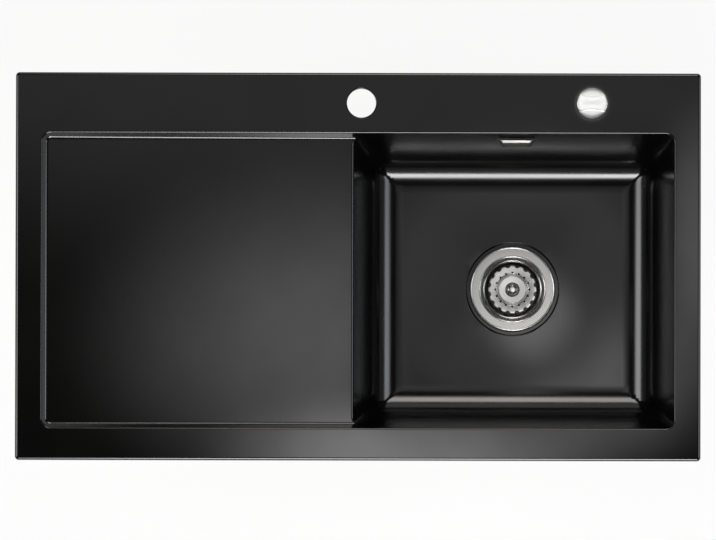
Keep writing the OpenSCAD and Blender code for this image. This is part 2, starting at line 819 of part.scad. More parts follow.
module gland_nut() {
    color(pale_plastic) on_shaft() difference() {
        union() {
            translate([0, 0, gland_x - gland_bore_depth + 2.5])
                cylinder(d = gland_bore_d - 2 * fit, h = gland_bore_depth + crank_plate - 2.5 + skin);
            translate([0, 0, gland_x + crank_plate]) cylinder(d = 20, h = gland_nut_height, $fn = 6);
        }
        translate([0, 0, -cut])
            cylinder(d = shaft_d + 2 * fit, h = crank_inner_x + gland_nut_height + 2 * cut);
    }
}

// Outline of the crank housing, seen along the shaft: x points down, y to the rear
module crank_outline(inset) {
    rounded_rect(
        [-crank_above + inset, -crank_half + inset, crank_below - inset, crank_half - inset],
        5 - inset / 2
    );
}

function crank_screw_places() =
    [for (x = [-crank_above + 5, crank_below - 5], y = [-crank_half + 5, crank_half - 5]) [x, y]];

module crank_housing() {
    color(plastic) on_shaft() difference() {
        union() {
            difference() {
                translate([0, 0, gland_x]) linear_extrude(crank_cover_x - gland_x) crank_outline(0);
                translate([0, 0, crank_inner_x])
                    linear_extrude(crank_cover_x) crank_outline(crank_wall);
            }
            for (place = crank_screw_places()) translate([place[0], place[1], crank_inner_x - skin])
                cylinder(d = 7, h = crank_cover_x - crank_inner_x + skin);
            translate([-wire_up, crank_half - skin, wire_x]) rotate([-90, 0, 0])
                cylinder(d = cable_bore_d + 3, h = crank_cable_boss + skin);
        }
        translate([0, 0, gland_x - cut]) cylinder(d = gland_bore_d, h = crank_plate + 2 * cut);
        for (place = crank_screw_places()) translate([place[0], place[1], crank_inner_x + 2])
            cylinder(d = 3 + 2 * fit, h = crank_cover_x);
        translate([-wire_up, crank_half - 4, wire_x]) rotate([-90, 0, 0])
            cylinder(d = cable_bore_d, h = 4 + crank_cable_boss + cut);
    }
}

module crank_cover() {
    color(plastic) on_shaft() difference() {
        translate([0, 0, crank_cover_x]) linear_extrude(2) crank_outline(0);
        for (place = crank_screw_places()) translate([place[0], place[1], crank_cover_x - cut])
            cylinder(d = 3.4, h = 2 + 2 * cut);
    }
}

module crank_screws() {
    color(steel) on_shaft() for (place = crank_screw_places())
        translate([place[0], place[1], crank_cover_x + 2]) pan_screw(3, 6, 1.8, 8);
}

// Control cable, in its sheath

// A point on a smooth curve through the route, at station i and share t
function along(route, i, t) =
    let (
        last = len(route) - 1,
        a = route[max(i - 1, 0)], b = route[i], c = route[min(i + 1, last)], d = route[min(i + 2, last)]
    )
    b + 0.5 * ((c - a) * t + (2 * a - 5 * b + 4 * c - d) * t * t + (3 * b - a - 3 * c + d) * t * t * t);
function station(route, s) = let (i = min(floor(s), len(route) - 2)) along(route, i, s - i);
function heading(route, s) =
    let (last = len(route) - 1, step = 0.02)
    unit(station(route, min(s + step, last)) - station(route, max(s - step, 0)));

// One ring of points round the route; the ring's first side always faces +X or near it
function ring(centre, side, top, r, sides) = [
    for (k = [0:sides - 1])
        let (turn = k * 360 / sides)
        centre + r * (cos(turn) * side + sin(turn) * top)
];
function ring_at(route, s, r, sides) =
    let (t = heading(route, s), side = unit([1, 0, 0] - t[0] * t))
    ring(station(route, s), side, cross(t, side), r, sides);
function cable_ring(route, s, r, sides) =
    let (t = heading(route, s), side = unit(cross([0.6, -0.8, 0], t)))
    ring(station(route, s), side, cross(t, side), r, sides);

// Triangles between rings that follow each other, starting at the given ring
function skin_faces(first, count, sides, outside) = [
    for (i = [first:first + count - 2], k = [0:sides - 1])
        let (
            a = i * sides + k, b = i * sides + (k + 1) % sides,
            c = a + sides, d = b + sides
        )
        each (outside ? [[a, c, b], [b, c, d]] : [[a, b, c], [b, d, c]])
];

module control_cable() {
    stations = (len(cable_route) - 1) * cable_steps;
    rings = [
        for (i = [0:stations]) cable_ring(cable_route, i / cable_steps, cable_d / 2, cable_sides)
    ];
    start = [for (k = [0:cable_sides - 1]) k];
    stop = [for (k = [cable_sides - 1:-1:0]) stations * cable_sides + k];
    color(rubber) polyhedron(
        points = [for (ring = rings) each ring],
        faces = concat(skin_faces(0, stations + 1, cable_sides, true), [start, stop])
    );
}

// End fitting of the sheath: its collar, its hexagon and the stub in the housing's boss
module ferrule(stub) {
    difference() {
        union() {
            cylinder(d = 7.5, h = ferrule_collar + skin);
            translate([0, 0, ferrule_collar]) cylinder(d = 10, h = ferrule_hexagon, $fn = 6);
            translate([0, 0, ferrule_collar + ferrule_hexagon - skin])
                cylinder(d = cable_bore_d - 2 * fit, h = stub + skin);
        }
        translate([0, 0, -cut])
            cylinder(d = wire_d + 2 * fit, h = ferrule_collar + ferrule_hexagon + stub + 2 * cut);
    }
}

module lower_ferrule() {
    color(chrome) translate([cable_x, cable_bottom[1], cable_z]) rotate([90, 0, 0]) ferrule(crank_cable_boss);
}

module upper_ferrule() {
    color(chrome) translate(cable_top) rotate([0, -90, 0]) ferrule(actuator_cable_boss);
}

module upper_wire() {
    color(steel) translate([control_x, upper_cable_y, drum_level]) rotate([0, 90, 0])
        cylinder(d = wire_d, h = upper_cable_x - control_x - 4);
}

// The turns of wire that stay on the drum
module drum_wire() {
    color(steel) at_control() rotate_extrude()
        translate([drum_core + wire_d / 2, drum_level - wire_d - rest_gap]) circle(d = wire_d, $fn = 24);
}

// Rotary control under the deck

function actuator_screw_places() =
    [for (turn = [60, 180, 300]) (actuator_r - 4.2) * [cos(turn), sin(turn)]];

module actuator_housing() {
    color(plastic) at_control() difference() {
        union() {
            tube(bushing_d + 8, bushing_d + 2 * fit, bushing_z - skin, bushing_z + collar_height);
            difference() {
                translate([0, 0, actuator_z])
                    cylinder(r = actuator_r, h = bushing_z - actuator_z + actuator_wall);
                translate([0, 0, actuator_z - cut])
                    cylinder(r = actuator_r - actuator_wall, h = bushing_z - actuator_z + cut);
            }
            for (place = actuator_screw_places()) translate([place[0], place[1], actuator_z])
                cylinder(d = 7, h = bushing_z - actuator_z + skin);
            translate([actuator_r - 8, drum_radius, drum_level]) rotate([0, 90, 0])
                cylinder(d = cable_bore_d + 3, h = 8 + actuator_cable_boss);
        }
        translate([0, 0, bushing_z - cut]) cylinder(d = bushing_d + 2 * fit, h = collar_height + 2 * cut);
        translate([0, 0, actuator_z - cut])
            cylinder(r = drum_radius + 3, h = bushing_z - actuator_z + cut);
        for (place = actuator_screw_places()) translate([place[0], place[1], actuator_z - cut])
            cylinder(d = 3 + 2 * fit, h = 11 + cut);
        translate([0, drum_radius, drum_level]) rotate([0, 90, 0])
            cylinder(d = cable_bore_d, h = actuator_r + actuator_cable_boss + cut);
    }
}

module actuator_cover() {
    color(plastic) at_control() difference() {
        translate([0, 0, actuator_z - 2]) cylinder(r = actuator_r, h = 2);
        for (place = actuator_screw_places())
            translate([place[0], place[1], actuator_z - 2 - cut]) cylinder(d = 3.4, h = 2 + 2 * cut);
    }
}

module actuator_screws() {
    color(steel) at_control() for (place = actuator_screw_places())
        translate([place[0], place[1], actuator_z - 2]) rotate([180, 0, 0]) pan_screw(3, 6, 1.8, 10);
}

module cable_drum() {
    color(pale_plastic) at_control() difference() {
        rotate_extrude() polygon([
            [spindle_d / 2 + fit, drum_z], [drum_radius + 2, drum_z], [drum_radius + 2, drum_z + 1.6],
            [drum_core, drum_z + 1.6], [drum_core, drum_z + drum_height - 1.6],
            [drum_radius + 2, drum_z + drum_height - 1.6], [drum_radius + 2, drum_z + drum_height],
            [spindle_d / 2 + fit, drum_z + drum_height]
        ]);
        rotate(200) translate([drum_core - 1, 0, drum_z - cut]) cylinder(d = 3.5, h = drum_height / 2 + cut);
    }
}

module drum_clip() {
    color(steel) at_control() difference() {
        tube(spindle_d + 6, spindle_d, drum_z - 1, drum_z);
        translate([0, -spindle_d * 0.3, drum_z - 2]) cube([spindle_d + 6, spindle_d * 0.6, 3]);
    }
}

module knob_spindle() {
    color(steel) at_control() {
        translate([0, 0, spindle_z]) cylinder(d = spindle_d, h = knob_z + knob_base_height - spindle_z);
    }
}

module knob_bushing() {
    flange_z = rim_height + control_seal_height;
    neck_z = flange_z - 12;
    color(pale_plastic) at_control() difference() {
        union() {
            translate([0, 0, flange_z]) cylinder(d = knob_d - 2, h = bushing_flange_height);
            translate([0, 0, bushing_z]) cylinder(d = bushing_d, h = flange_z - bushing_z + skin);
        }
        translate([0, 0, bushing_z - cut])
            cylinder(d = spindle_d + 2 * fit, h = flange_z + bushing_flange_height - bushing_z + 2 * cut);
        translate([0, 0, bushing_z - cut]) tube(bushing_d - 8, spindle_d + 8, 0, neck_z - bushing_z);
    }
}

module deck_seal() {
    color(rubber) at_control()
        tube(knob_d - 2.6, bushing_d + 1, rim_height, rim_height + control_seal_height);
}

module deck_washer() {
    color(rubber) at_control()
        tube(bushing_d + 18, bushing_d + 0.6, seat_height - deck_washer_height, seat_height);
}

module deck_nut() {
    nut_z = seat_height - deck_washer_height - deck_nut_height;
    color(pale_plastic) at_control() difference() {
        translate([0, 0, nut_z]) cylinder(d = bushing_d + 16, h = deck_nut_height, $fn = 6);
        translate([0, 0, nut_z - cut]) cylinder(d = bushing_d + 2 * fit, h = deck_nut_height + 2 * cut);
    }
}

module control_knob() {
    end_x = sqrt(knob_d * knob_d - grip_end * grip_end) / 2;
    sagitta = (grip_end - grip_waist) / 2;
    scoop = (end_x * end_x + sagitta * sagitta) / (2 * sagitta);
    top_z = rim_height + knob_height;
    base_z = rim_height + knob_base_height;
    bevel = 1.2;
    color(chrome) at_control() difference() {
        rotate_extrude() polygon([
            [0, knob_z], [knob_d / 2 - 0.6, knob_z], [knob_d / 2, knob_z + 0.6],
            [knob_d / 2, top_z - bevel], [knob_d / 2 - bevel, top_z], [0, top_z]
        ]);
        for (side = [-1, 1]) translate([0, side * (grip_waist / 2 + scoop), base_z])
            cylinder(r = scoop, h = knob_height, $fn = 96);
        translate([0, 0, knob_z - cut]) cylinder(d = spindle_d + 2 * fit, h = knob_base_height + cut + fit);
        translate([-grip_waist / 2, -0.4, top_z - 0.5]) cube([grip_waist, 0.8, cut]);
    }
}

// Overflow

module overflow_hood() {
    lean = (hood_width - hood_front) / 2;
    taper = 5;
    low_lean = lean - taper;
    front = -hood_gap - frame_sheet;
    base = frame_front - rest_gap;
    color(steel) at_overflow() {
        translate([-hood_front / 2, front, -hood_height / 2]) cube([hood_front, frame_sheet, hood_height]);
        for (side = [-1, 1]) {
            mirrored = side < 0 ? 1 : 0;
            mirror([mirrored, 0, 0]) hull() {
                translate([hood_front / 2 - frame_sheet / 2, front, -hood_height / 2])
                    cube([frame_sheet / 2, frame_sheet, hood_height]);
                for (across = [skin, frame_sheet]) {
                    translate([hood_front / 2 + lean - across, base - skin, hood_height / 2 - skin])
                        cube(skin);
                    translate([hood_front / 2 + low_lean - across, base - skin, -hood_height / 2])
                        cube(skin);
                }
            }
        }
    }
}

module overflow_frame() {
    color(steel) at_overflow() translate([0, -wall_gap, 0]) rotate([90, 0, 0])
        linear_extrude(frame_sheet) difference() {
            centred_rect(slot_width + 8, slot_height + 8, 4);
            square([screw_spread - 9, slot_height - 2], center = true);
            for (side = [-1, 1]) translate([side * screw_spread / 2, 0]) circle(d = 4 + 2 * fit);
        }
}

module overflow_screws() {
    color(steel) at_overflow() for (side = [-1, 1])
        translate([side * screw_spread / 2, frame_front, 0]) rotate([90, 0, 0]) pan_screw(4, 7, 2, 26);
}

module overflow_gasket() {
    color(rubber) at_overflow() translate([0, ceramic_wall, 0]) rotate([-90, 0, 0])
        linear_extrude(overflow_gasket_thickness) difference() {
            centred_rect(slot_width + 16, slot_height + 8, 6);
            slot_outline(slot_width, slot_height);
        }
}

module overflow_housing() {
    width = slot_width + 18;
    below = 20;
    above = slot_height / 2 + 4;
    color(plastic) difference() {
        union() {
            at_overflow() translate([0, overflow_back, 0]) rotate([-90, 0, 0])
                linear_extrude(overflow_depth) rounded_rect([-width / 2, -above, width / 2, below], 6);
            translate([overflow_x, spigot_y, spigot_z]) cylinder(d = spigot_d, h = spigot_top_z - spigot_z);
        }
        at_overflow() difference() {
            translate([0, overflow_back - cut, 0]) rotate([-90, 0, 0])
                linear_extrude(overflow_depth - 2.5 + cut)
                rounded_rect([-width / 2 + 9, -above + 4, width / 2 - 9, below - 3], 3);
            for (side = [-1, 1]) translate([side * screw_spread / 2, overflow_back - 2 * cut, 0])
                rotate([-90, 0, 0]) cylinder(d = 7.5, h = overflow_depth + cut);
        }
        at_overflow() for (side = [-1, 1])
            translate([side * screw_spread / 2, overflow_back - cut, 0]) rotate([-90, 0, 0])
            cylinder(d = 4 + 2 * fit, h = overflow_depth - 4);
        translate([overflow_x, spigot_y, spigot_z - cut])
            cylinder(d = spigot_d - 2 * spigot_wall, h = spigot_top_z - spigot_z + cut);
    }
}

module overflow_hose() {
    stations = len(hose_route) - 1;
    outer = [
        for (i = [0:hose_ribs - 1], part = [0, 1])
            let (
                s = (i + 0.5 * part) * stations / hose_ribs,
                r = part == 0 ? hose_valley_r : hose_crest_r
            )
            ring_at(hose_route, s, r, hose_sides),
        ring_at(hose_route, stations, hose_valley_r, hose_sides)
    ];
    bore_rings = 3 * stations;
    inner = [for (i = [0:bore_rings]) ring_at(hose_route, i / 3, hose_bore_r, hose_sides)];
    first = len(outer);
    last = first + len(inner) - 1;
    ends = [for (k = [0:hose_sides - 1])
        let (
            n = (k + 1) % hose_sides,
            a = first * hose_sides, b = (first - 1) * hose_sides, c = last * hose_sides
        )
        each [
            [k, n, a + k], [n, a + n, a + k],
            [b + k, c + k, b + n], [b + n, c + k, c + n]
        ]
    ];
    color(plastic) polyhedron(
        points = [for (ring = concat(outer, inner)) each ring],
        faces = concat(
            skin_faces(0, first, hose_sides, true),
            skin_faces(first, len(inner), hose_sides, false),
            ends
        )
    );
}

module hose_nut() {
    difference() {
        union() {
            cylinder(r = hose_crest_r + 2, h = 12, $fn = 48);
            for (turn = [0:30:330]) rotate(turn)
                translate([hose_crest_r + 1.5, -1.5, 0]) cube([1.5, 3, 12]);
        }
        translate([0, 0, -cut]) cylinder(r = hose_crest_r + fit, h = 12 + 2 * cut, $fn = 48);
    }
}

module upper_hose_nut() {
    color(pale_plastic) translate([hose_top[0], hose_top[1], hose_top[2] - 15]) hose_nut();
}

module lower_hose_nut() {
    color(pale_plastic) translate(hose_bottom + [0, 3, 0]) rotate([-90, 0, 0]) hose_nut();
}

ceramic_basin();
strainer_flange();
flange_gasket();
body_gasket();
waste_body();
clamp_bolt();
strainer_basket();
basket_pull();
basket_stem();
basket_spacer();
basket_washer();
basket_seal();
lift_pin();
lift_cam();
cam_shaft();
crank_arm();
crank_slider();
lower_wire();
shaft_seal();
gland_nut();
crank_housing();
crank_cover();
crank_screws();
lower_ferrule();
control_cable();
upper_ferrule();
upper_wire();
drum_wire();
actuator_housing();
actuator_cover();
actuator_screws();
cable_drum();
drum_clip();
knob_spindle();
control_knob();
knob_bushing();
deck_seal();
deck_washer();
deck_nut();
overflow_hood();
overflow_frame();
overflow_screws();
overflow_gasket();
overflow_housing();
overflow_hose();
upper_hose_nut();
lower_hose_nut();
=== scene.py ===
import math

import bmesh
import bpy
import numpy as np
from mathutils import Matrix, Vector


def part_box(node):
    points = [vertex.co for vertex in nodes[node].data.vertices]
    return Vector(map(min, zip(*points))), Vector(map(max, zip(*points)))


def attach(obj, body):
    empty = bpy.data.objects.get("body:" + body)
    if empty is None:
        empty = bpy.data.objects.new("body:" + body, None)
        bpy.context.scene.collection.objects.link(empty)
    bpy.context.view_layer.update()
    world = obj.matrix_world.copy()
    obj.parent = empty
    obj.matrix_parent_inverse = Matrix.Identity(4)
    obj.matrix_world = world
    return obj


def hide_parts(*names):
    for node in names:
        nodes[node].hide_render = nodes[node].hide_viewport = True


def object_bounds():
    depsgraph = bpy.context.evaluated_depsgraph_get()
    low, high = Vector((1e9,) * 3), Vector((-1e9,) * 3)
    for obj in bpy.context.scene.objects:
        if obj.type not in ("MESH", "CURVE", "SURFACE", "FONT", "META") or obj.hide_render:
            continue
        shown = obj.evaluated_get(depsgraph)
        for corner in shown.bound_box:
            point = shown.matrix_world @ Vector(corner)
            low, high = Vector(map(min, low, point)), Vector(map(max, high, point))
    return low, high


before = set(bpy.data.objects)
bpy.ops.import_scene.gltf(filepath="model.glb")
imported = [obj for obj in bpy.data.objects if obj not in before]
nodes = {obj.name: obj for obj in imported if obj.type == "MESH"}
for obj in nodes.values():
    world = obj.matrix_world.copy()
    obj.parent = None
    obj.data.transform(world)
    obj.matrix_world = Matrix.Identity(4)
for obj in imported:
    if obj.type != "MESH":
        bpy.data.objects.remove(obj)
cadLow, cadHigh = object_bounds()
mm = 0.001


def middleOf(node):
    low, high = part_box(node)
    return (low + high) / 2 / mm


# Places that several pieces share, in millimetres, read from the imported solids
drainAt = middleOf("strainer_flange")
controlAt = middleOf("control_knob")
drainAxis = (drainAt.x, drainAt.y)
controlAxis = (controlAt.x, controlAt.y)
basinLow, basinHigh = (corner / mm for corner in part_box("ceramic_basin"))
print("frame loaded:", len(nodes), "nodes")


def addObject(name, data):
    thing = bpy.data.objects.new(name, data)
    bpy.context.scene.collection.objects.link(thing)
    return thing


# Turns a camera or lamp to look along a direction, rolled by an angle in degrees
def aim(thing, direction, roll=0.0):
    thing.rotation_mode = "QUATERNION"
    turned = direction.to_track_quat("-Z", "Y")
    thing.rotation_quaternion = turned @ Matrix.Rotation(math.radians(roll), 3, "Z").to_quaternion()


# Camera, at the photograph's viewing angle
camera = {
    "elevation": 86.7,
    "distance": 30.0,
    "farLimit": 100.0,
    "sensor": 36.0,
    "widthSeen": 0.94004,
    "target": (-0.0001, -0.0047, 0.012),
    "roll": 0.13,
}


def buildCamera(values):
    data = bpy.data.cameras.new("productCamera")
    data.sensor_width = values["sensor"]
    data.lens = data.sensor_width * values["distance"] / values["widthSeen"]
    data.clip_end = values["farLimit"]
    thing = addObject("productCamera", data)
    tilt = math.radians(values["elevation"])
    backward = Vector((0.0, -math.cos(tilt), math.sin(tilt)))
    thing.location = Vector(values["target"]) + backward * values["distance"]
    aim(thing, -backward, values["roll"])
    bpy.context.scene.camera = thing
    bpy.context.scene.view_settings.view_transform = "Standard"


# sRGB hex to the linear colour that shaders take
def linear(hexColour):
    parts = [int(hexColour[i:i + 2], 16) / 255 for i in (1, 3, 5)]
    return tuple(c / 12.92 if c <= 0.04045 else ((c + 0.055) / 1.055) ** 2.4 for c in parts) + (1.0,)


def emptyTree(owner):
    owner.use_nodes = True
    owner.node_tree.nodes.clear()
    return owner.node_tree


# Adds a node; an input that is a socket is linked, and any other is set
def addNode(tree, kind, inputs=None, **settings):
    node = tree.nodes.new(kind)
    for name, value in settings.items():
        setattr(node, name, value)
    for name, value in (inputs or {}).items():
        socket = node.inputs[name]
        if isinstance(value, bpy.types.NodeSocket):
            tree.links.new(value, socket)
        else:
            socket.default_value = value
    return node


# Adds a node and gives its first output
def added(tree, kind, inputs=None, **settings):
    return addNode(tree, kind, inputs, **settings).outputs[0]


def calc(tree, operation, *values):
    return added(tree, "ShaderNodeMath", dict(enumerate(values)), operation=operation)


def mapped(tree, value, fromLow, fromHigh, toLow, toHigh, **settings):
    return added(tree, "ShaderNodeMapRange", {
        "Value": value, "From Min": fromLow, "From Max": fromHigh, "To Min": toLow, "To Max": toHigh,
    }, **settings)


def axesOf(tree, vector):
    return addNode(tree, "ShaderNodeSeparateXYZ", {0: vector}).outputs


def vectorOf(tree, **axes):
    return added(tree, "ShaderNodeCombineXYZ", axes)


def lengthOf(tree, vector):
    return addNode(tree, "ShaderNodeVectorMath", {0: vector}, operation="LENGTH").outputs["Value"]


def objectPlace(tree):
    return addNode(tree, "ShaderNodeTexCoord").outputs["Object"]


studio = {
    "ambient": "#3c3c3b",
    "ambientStrength": 1.0,
    "horizon": 0.12,
    "floorDrop": 0.004,
    "floorSize": 30.0,
    "floorColour": "#f4f4f2",
    "shadowShare": 0.1,
    # name, place, target, width, height, brightness, soft share of its edge, spread in degrees,
    # and where these differ from the usual, the place across it that is brightest and its colour
    "softboxes": [
        ("keyFront", (0.15, -1.87, 1.05), (0.15, -0.03, -0.15), 1.9, 1.3, 11.3, 0.6, 180),
        ("rimRear", (0.2, 1.62, 1.12), (0.2, -0.17, -0.15), 1.6, 1.2, 4.4, 0.6, 180, 0.5, "#fffaf7"),
        ("sideLeft", (-1.47, -0.05, 1.05), (0.37, -0.05, -0.15), 1.4, 1.3, 3.8, 0.6, 180),
        ("sideRight", (1.88, -0.05, 1.05), (0.04, -0.05, -0.15), 1.4, 1.3, 2.8, 0.6, 180, 0.5, "#eef5fa"),
        ("overheadFront", (0.075, -0.24, 0.35), (0.075, -0.26, 0.0), 0.62, 0.22, 3.25, 0.9, 34),
        ("overheadMiddle", (-0.17, -0.075, 0.37), (-0.17, -0.095, 0.0), 0.5, 0.54, 1.5, 0.95, 34, 0.2),
        ("overheadBowl", (0.22, 0.0, 0.4), (0.22, -0.03, 0.0), 0.48, 0.46, 0.47, 0.5, 50),
        ("overheadRight", (0.34, -0.13, 0.39), (0.34, -0.15, 0.0), 0.34, 0.3, 1.43, 0.9, 34),
        ("overheadRim", (0.46, 0.05, 0.41), (0.46, 0.03, 0.0), 0.16, 0.46, 1.43, 0.9, 34),
        ("overheadRear", (0.05, 0.65, 1.4), (0.05, 0.57, 0.0), 2.4, 1.3, 0.38, 0.4, 40),
        ("overKnob", (0.307, 0.2168, 0.045), (0.307, 0.215, 0.0), 0.046, 0.046, 0.95, 0.08, 100),
        ("overDrain", (0.228, -0.042, 0.0), (0.226, -0.051, -0.15), 0.14, 0.14, 1.6, 0.95, 70),
    ],
}


# A softbox whose brightness eases off towards its edges
def addSoftbox(
    name, place, target, width, height, brightness, softShare, spread, brightest=0.5, colour="#ffffff",
):
    lamp = bpy.data.lights.new(name, "AREA")
    lamp.shape = "RECTANGLE"
    lamp.size, lamp.size_y = width, height
    lamp.energy = 4 * width * height * brightness
    if spread < 180:
        lamp.spread = math.radians(spread)
        lamp.energy *= 1 - lamp.spread / 2 / math.tan(lamp.spread / 2)
    tree = emptyTree(lamp)
    across = axesOf(tree, addNode(tree, "ShaderNodeNewGeometry").outputs["Parametric"])
    before = mapped(tree, across["X"], 0.0, brightest, -0.5, 0.0)
    beyond = mapped(tree, across["X"], brightest, 1.0, 0.0, 0.5)
    offMiddle = calc(tree, "SUBTRACT", across["Y"], 0.5)
    fromMiddle = vectorOf(tree, X=calc(tree, "ADD", before, beyond), Y=offMiddle)
    eased = mapped(
        tree, lengthOf(tree, fromMiddle), 0.5, 0.5 * (1 - softShare), 0.0, 1.0,
        interpolation_type="SMOOTHSTEP",
    )
    glow = added(tree, "ShaderNodeEmission", {"Color": linear(colour), "Strength": eased})
    addNode(tree, "ShaderNodeOutputLight", {"Surface": glow})
    thing = addObject(name, lamp)
    thing.location = place
    aim(thing, Vector(target) - Vector(place))
    thing.visible_camera = False


def buildWorld(values):
    world = bpy.data.worlds.new("studioWorld")
    bpy.context.scene.world = world
    tree = emptyTree(world)
    ray = addNode(tree, "ShaderNodeLightPath").outputs
    direction = axesOf(tree, addNode(tree, "ShaderNodeTexCoord").outputs["Generated"])
    low = calc(tree, "LESS_THAN", direction["Z"], values["horizon"])
    mirrored = calc(tree, "MAXIMUM", ray["Is Glossy Ray"], ray["Is Transmission Ray"])
    white = calc(tree, "MAXIMUM", ray["Is Camera Ray"], calc(tree, "MULTIPLY", mirrored, low))
    ambient = added(tree, "ShaderNodeBackground", {
        "Color": linear(values["ambient"]), "Strength": values["ambientStrength"],
    })
    backdrop = added(tree, "ShaderNodeBackground", {"Color": (1, 1, 1, 1), "Strength": 1.0})
    mixed = added(tree, "ShaderNodeMixShader", {0: white, 1: ambient, 2: backdrop})
    addNode(tree, "ShaderNodeOutputWorld", {"Surface": mixed})


def buildFloor(values):
    half = values["floorSize"] / 2
    level = cadLow.z - values["floorDrop"]
    corners = [(-half, -half, level), (half, -half, level), (half, half, level), (-half, half, level)]
    mesh = bpy.data.meshes.new("studioFloor")
    mesh.from_pydata(corners, [], [(0, 1, 2, 3)])
    floor = addObject("studioFloor", mesh)
    # seamless paper: even and shadeless apart from soft shadows
    material = bpy.data.materials.new("palePaper")
    tree = emptyTree(material)
    ray = addNode(tree, "ShaderNodeLightPath").outputs
    seen = calc(tree, "MAXIMUM", ray["Is Camera Ray"], ray["Is Glossy Ray"])
    seen = calc(tree, "MAXIMUM", seen, ray["Is Transmission Ray"])
    share = calc(tree, "MULTIPLY", seen, 1 - values["shadowShare"])
    paper = added(tree, "ShaderNodeBsdfDiffuse", {"Color": linear(values["floorColour"])})
    glow = added(tree, "ShaderNodeEmission", {"Color": (1, 1, 1, 1), "Strength": 1.0})
    mixed = added(tree, "ShaderNodeMixShader", {0: share, 1: paper, 2: glow})
    addNode(tree, "ShaderNodeOutputMaterial", {"Surface": mixed})
    mesh.materials.append(material)


buildCamera(camera)
buildWorld(studio)
for softbox in studio["softboxes"]:
    addSoftbox(*softbox)
buildFloor(studio)
print("studio built")


# A material whose shader sockets hold its constants; paint gets the tree and returns linked sockets
def makeMaterial(name, constants, paint):
    material = bpy.data.materials.new(name)
    tree = emptyTree(material)
    shader = added(tree, "ShaderNodeBsdfPrincipled", {**constants, **paint(tree)})
    addNode(tree, "ShaderNodeOutputMaterial", {"Surface": shader})
    return material


# Noise in object coordinates whose features are about the given size in millimetres
def grain(tree, sizeMm, detail=3.0, stretch=(1.0, 1.0, 1.0)):
    scaled = added(tree, "ShaderNodeMapping", {"Vector": objectPlace(tree), "Scale": stretch})
    return added(tree, "ShaderNodeTexNoise", {
        "Vector": scaled, "Scale": 1 / (sizeMm * mm), "Detail": detail, "Roughness": 0.55,
    })


# Two colours mixed by a 0 to 1 value
def blended(tree, factor, first, second, low=0.35, high=0.65):
    ramp = addNode(tree, "ShaderNodeValToRGB", {"Fac": factor})
    for stop, place, colour in zip(ramp.color_ramp.elements, (low, high), (first, second)):
        stop.position = place
        stop.color = linear(colour)
    return ramp.outputs["Color"]


# A 0.5-centred value brought to a range
def ranged(tree, value, low, high):
    return mapped(tree, value, 0.3, 0.7, low, high)


def bumped(tree, height, depthMm):
    return added(tree, "ShaderNodeBump", {"Height": height, "Distance": depthMm * mm, "Strength": 1.0})


def paintGlaze(tree):
    cloud = grain(tree, 90, 2.0)
    both = calc(tree, "ADD", cloud, grain(tree, 0.9, 1.0))
    steep = addNode(tree, "ShaderNodeAttribute", attribute_name="steepness").outputs["Fac"]
    matt = mapped(tree, steep, 0.5, 0.8, 0.0, 0.04)
    return {
        "Base Color": blended(tree, calc(tree, "MULTIPLY", both, 0.5), "#020202", "#050504"),
        "Roughness": calc(tree, "ADD", ranged(tree, cloud, 0.15, 0.19), matt),
        "Normal": bumped(tree, grain(tree, 2.6, 1.5), 0.012),
    }


def paintBiscuit(tree):
    place = axesOf(tree, objectPlace(tree))
    pastX = calc(tree, "SUBTRACT", calc(tree, "ABSOLUTE", place["X"]), basinHigh.x * mm)
    pastY = calc(tree, "SUBTRACT", calc(tree, "ABSOLUTE", place["Y"]), basinHigh.y * mm)
    edge = calc(tree, "MAXIMUM", pastX, pastY)
    sprayed = calc(tree, "MULTIPLY_ADD", grain(tree, 1.4, 2.0), 0.030, edge)
    drifted = calc(tree, "MULTIPLY_ADD", grain(tree, 30, 2.0), 0.016, sprayed)
    glazed = mapped(tree, drifted, -0.004, 0.004, 0.0, 1.0)
    clay = blended(tree, grain(tree, 1.1, 4.0), "#8a8172", "#9f9687")
    colour = addNode(tree, "ShaderNodeMix", {0: glazed, 6: clay, 7: linear("#22221f")}, data_type="RGBA")
    return {
        "Base Color": colour.outputs[2],
        "Roughness": mapped(tree, glazed, 0.0, 1.0, 0.85, 0.35),
        "Normal": bumped(tree, grain(tree, 1.6, 4.0), 0.12),
    }


# Spun and brushed rings round an upright axis, given in millimetres
def paintSpun(centre, light, dark, lowRough, highRough, ringMm, depthMm):
    def paint(tree):
        axis = (centre.x * mm, centre.y * mm, 0.0)
        centred = added(tree, "ShaderNodeVectorMath", {0: objectPlace(tree), 1: axis}, operation="SUBTRACT")
        place = axesOf(tree, centred)
        radius = lengthOf(tree, vectorOf(tree, X=place["X"], Y=place["Y"]))
        line = vectorOf(tree, X=radius, Y=calc(tree, "MULTIPLY", place["Z"], 0.7))
        rings = added(tree, "ShaderNodeTexNoise", {"Vector": line, "Scale": 1 / (ringMm * mm), "Detail": 3.0})
        return {
            "Base Color": blended(tree, rings, dark, light),
            "Roughness": ranged(tree, rings, lowRough, highRough),
            "Normal": bumped(tree, rings, depthMm),
        }
    return paint


def paintBrushed(light, dark, lowRough, highRough, lineMm, stretch, depthMm):
    def paint(tree):
        lines = grain(tree, lineMm, 3.0, stretch)
        both = calc(tree, "MULTIPLY_ADD", lines, 0.7, 0.15)
        tone = calc(tree, "MULTIPLY_ADD", grain(tree, 14, 2.0), 0.3, both)
        return {
            "Base Color": blended(tree, tone, dark, light, 0.35, 0.8),
            "Roughness": ranged(tree, lines, lowRough, highRough),
            "Normal": bumped(tree, lines, depthMm),
        }
    return paint


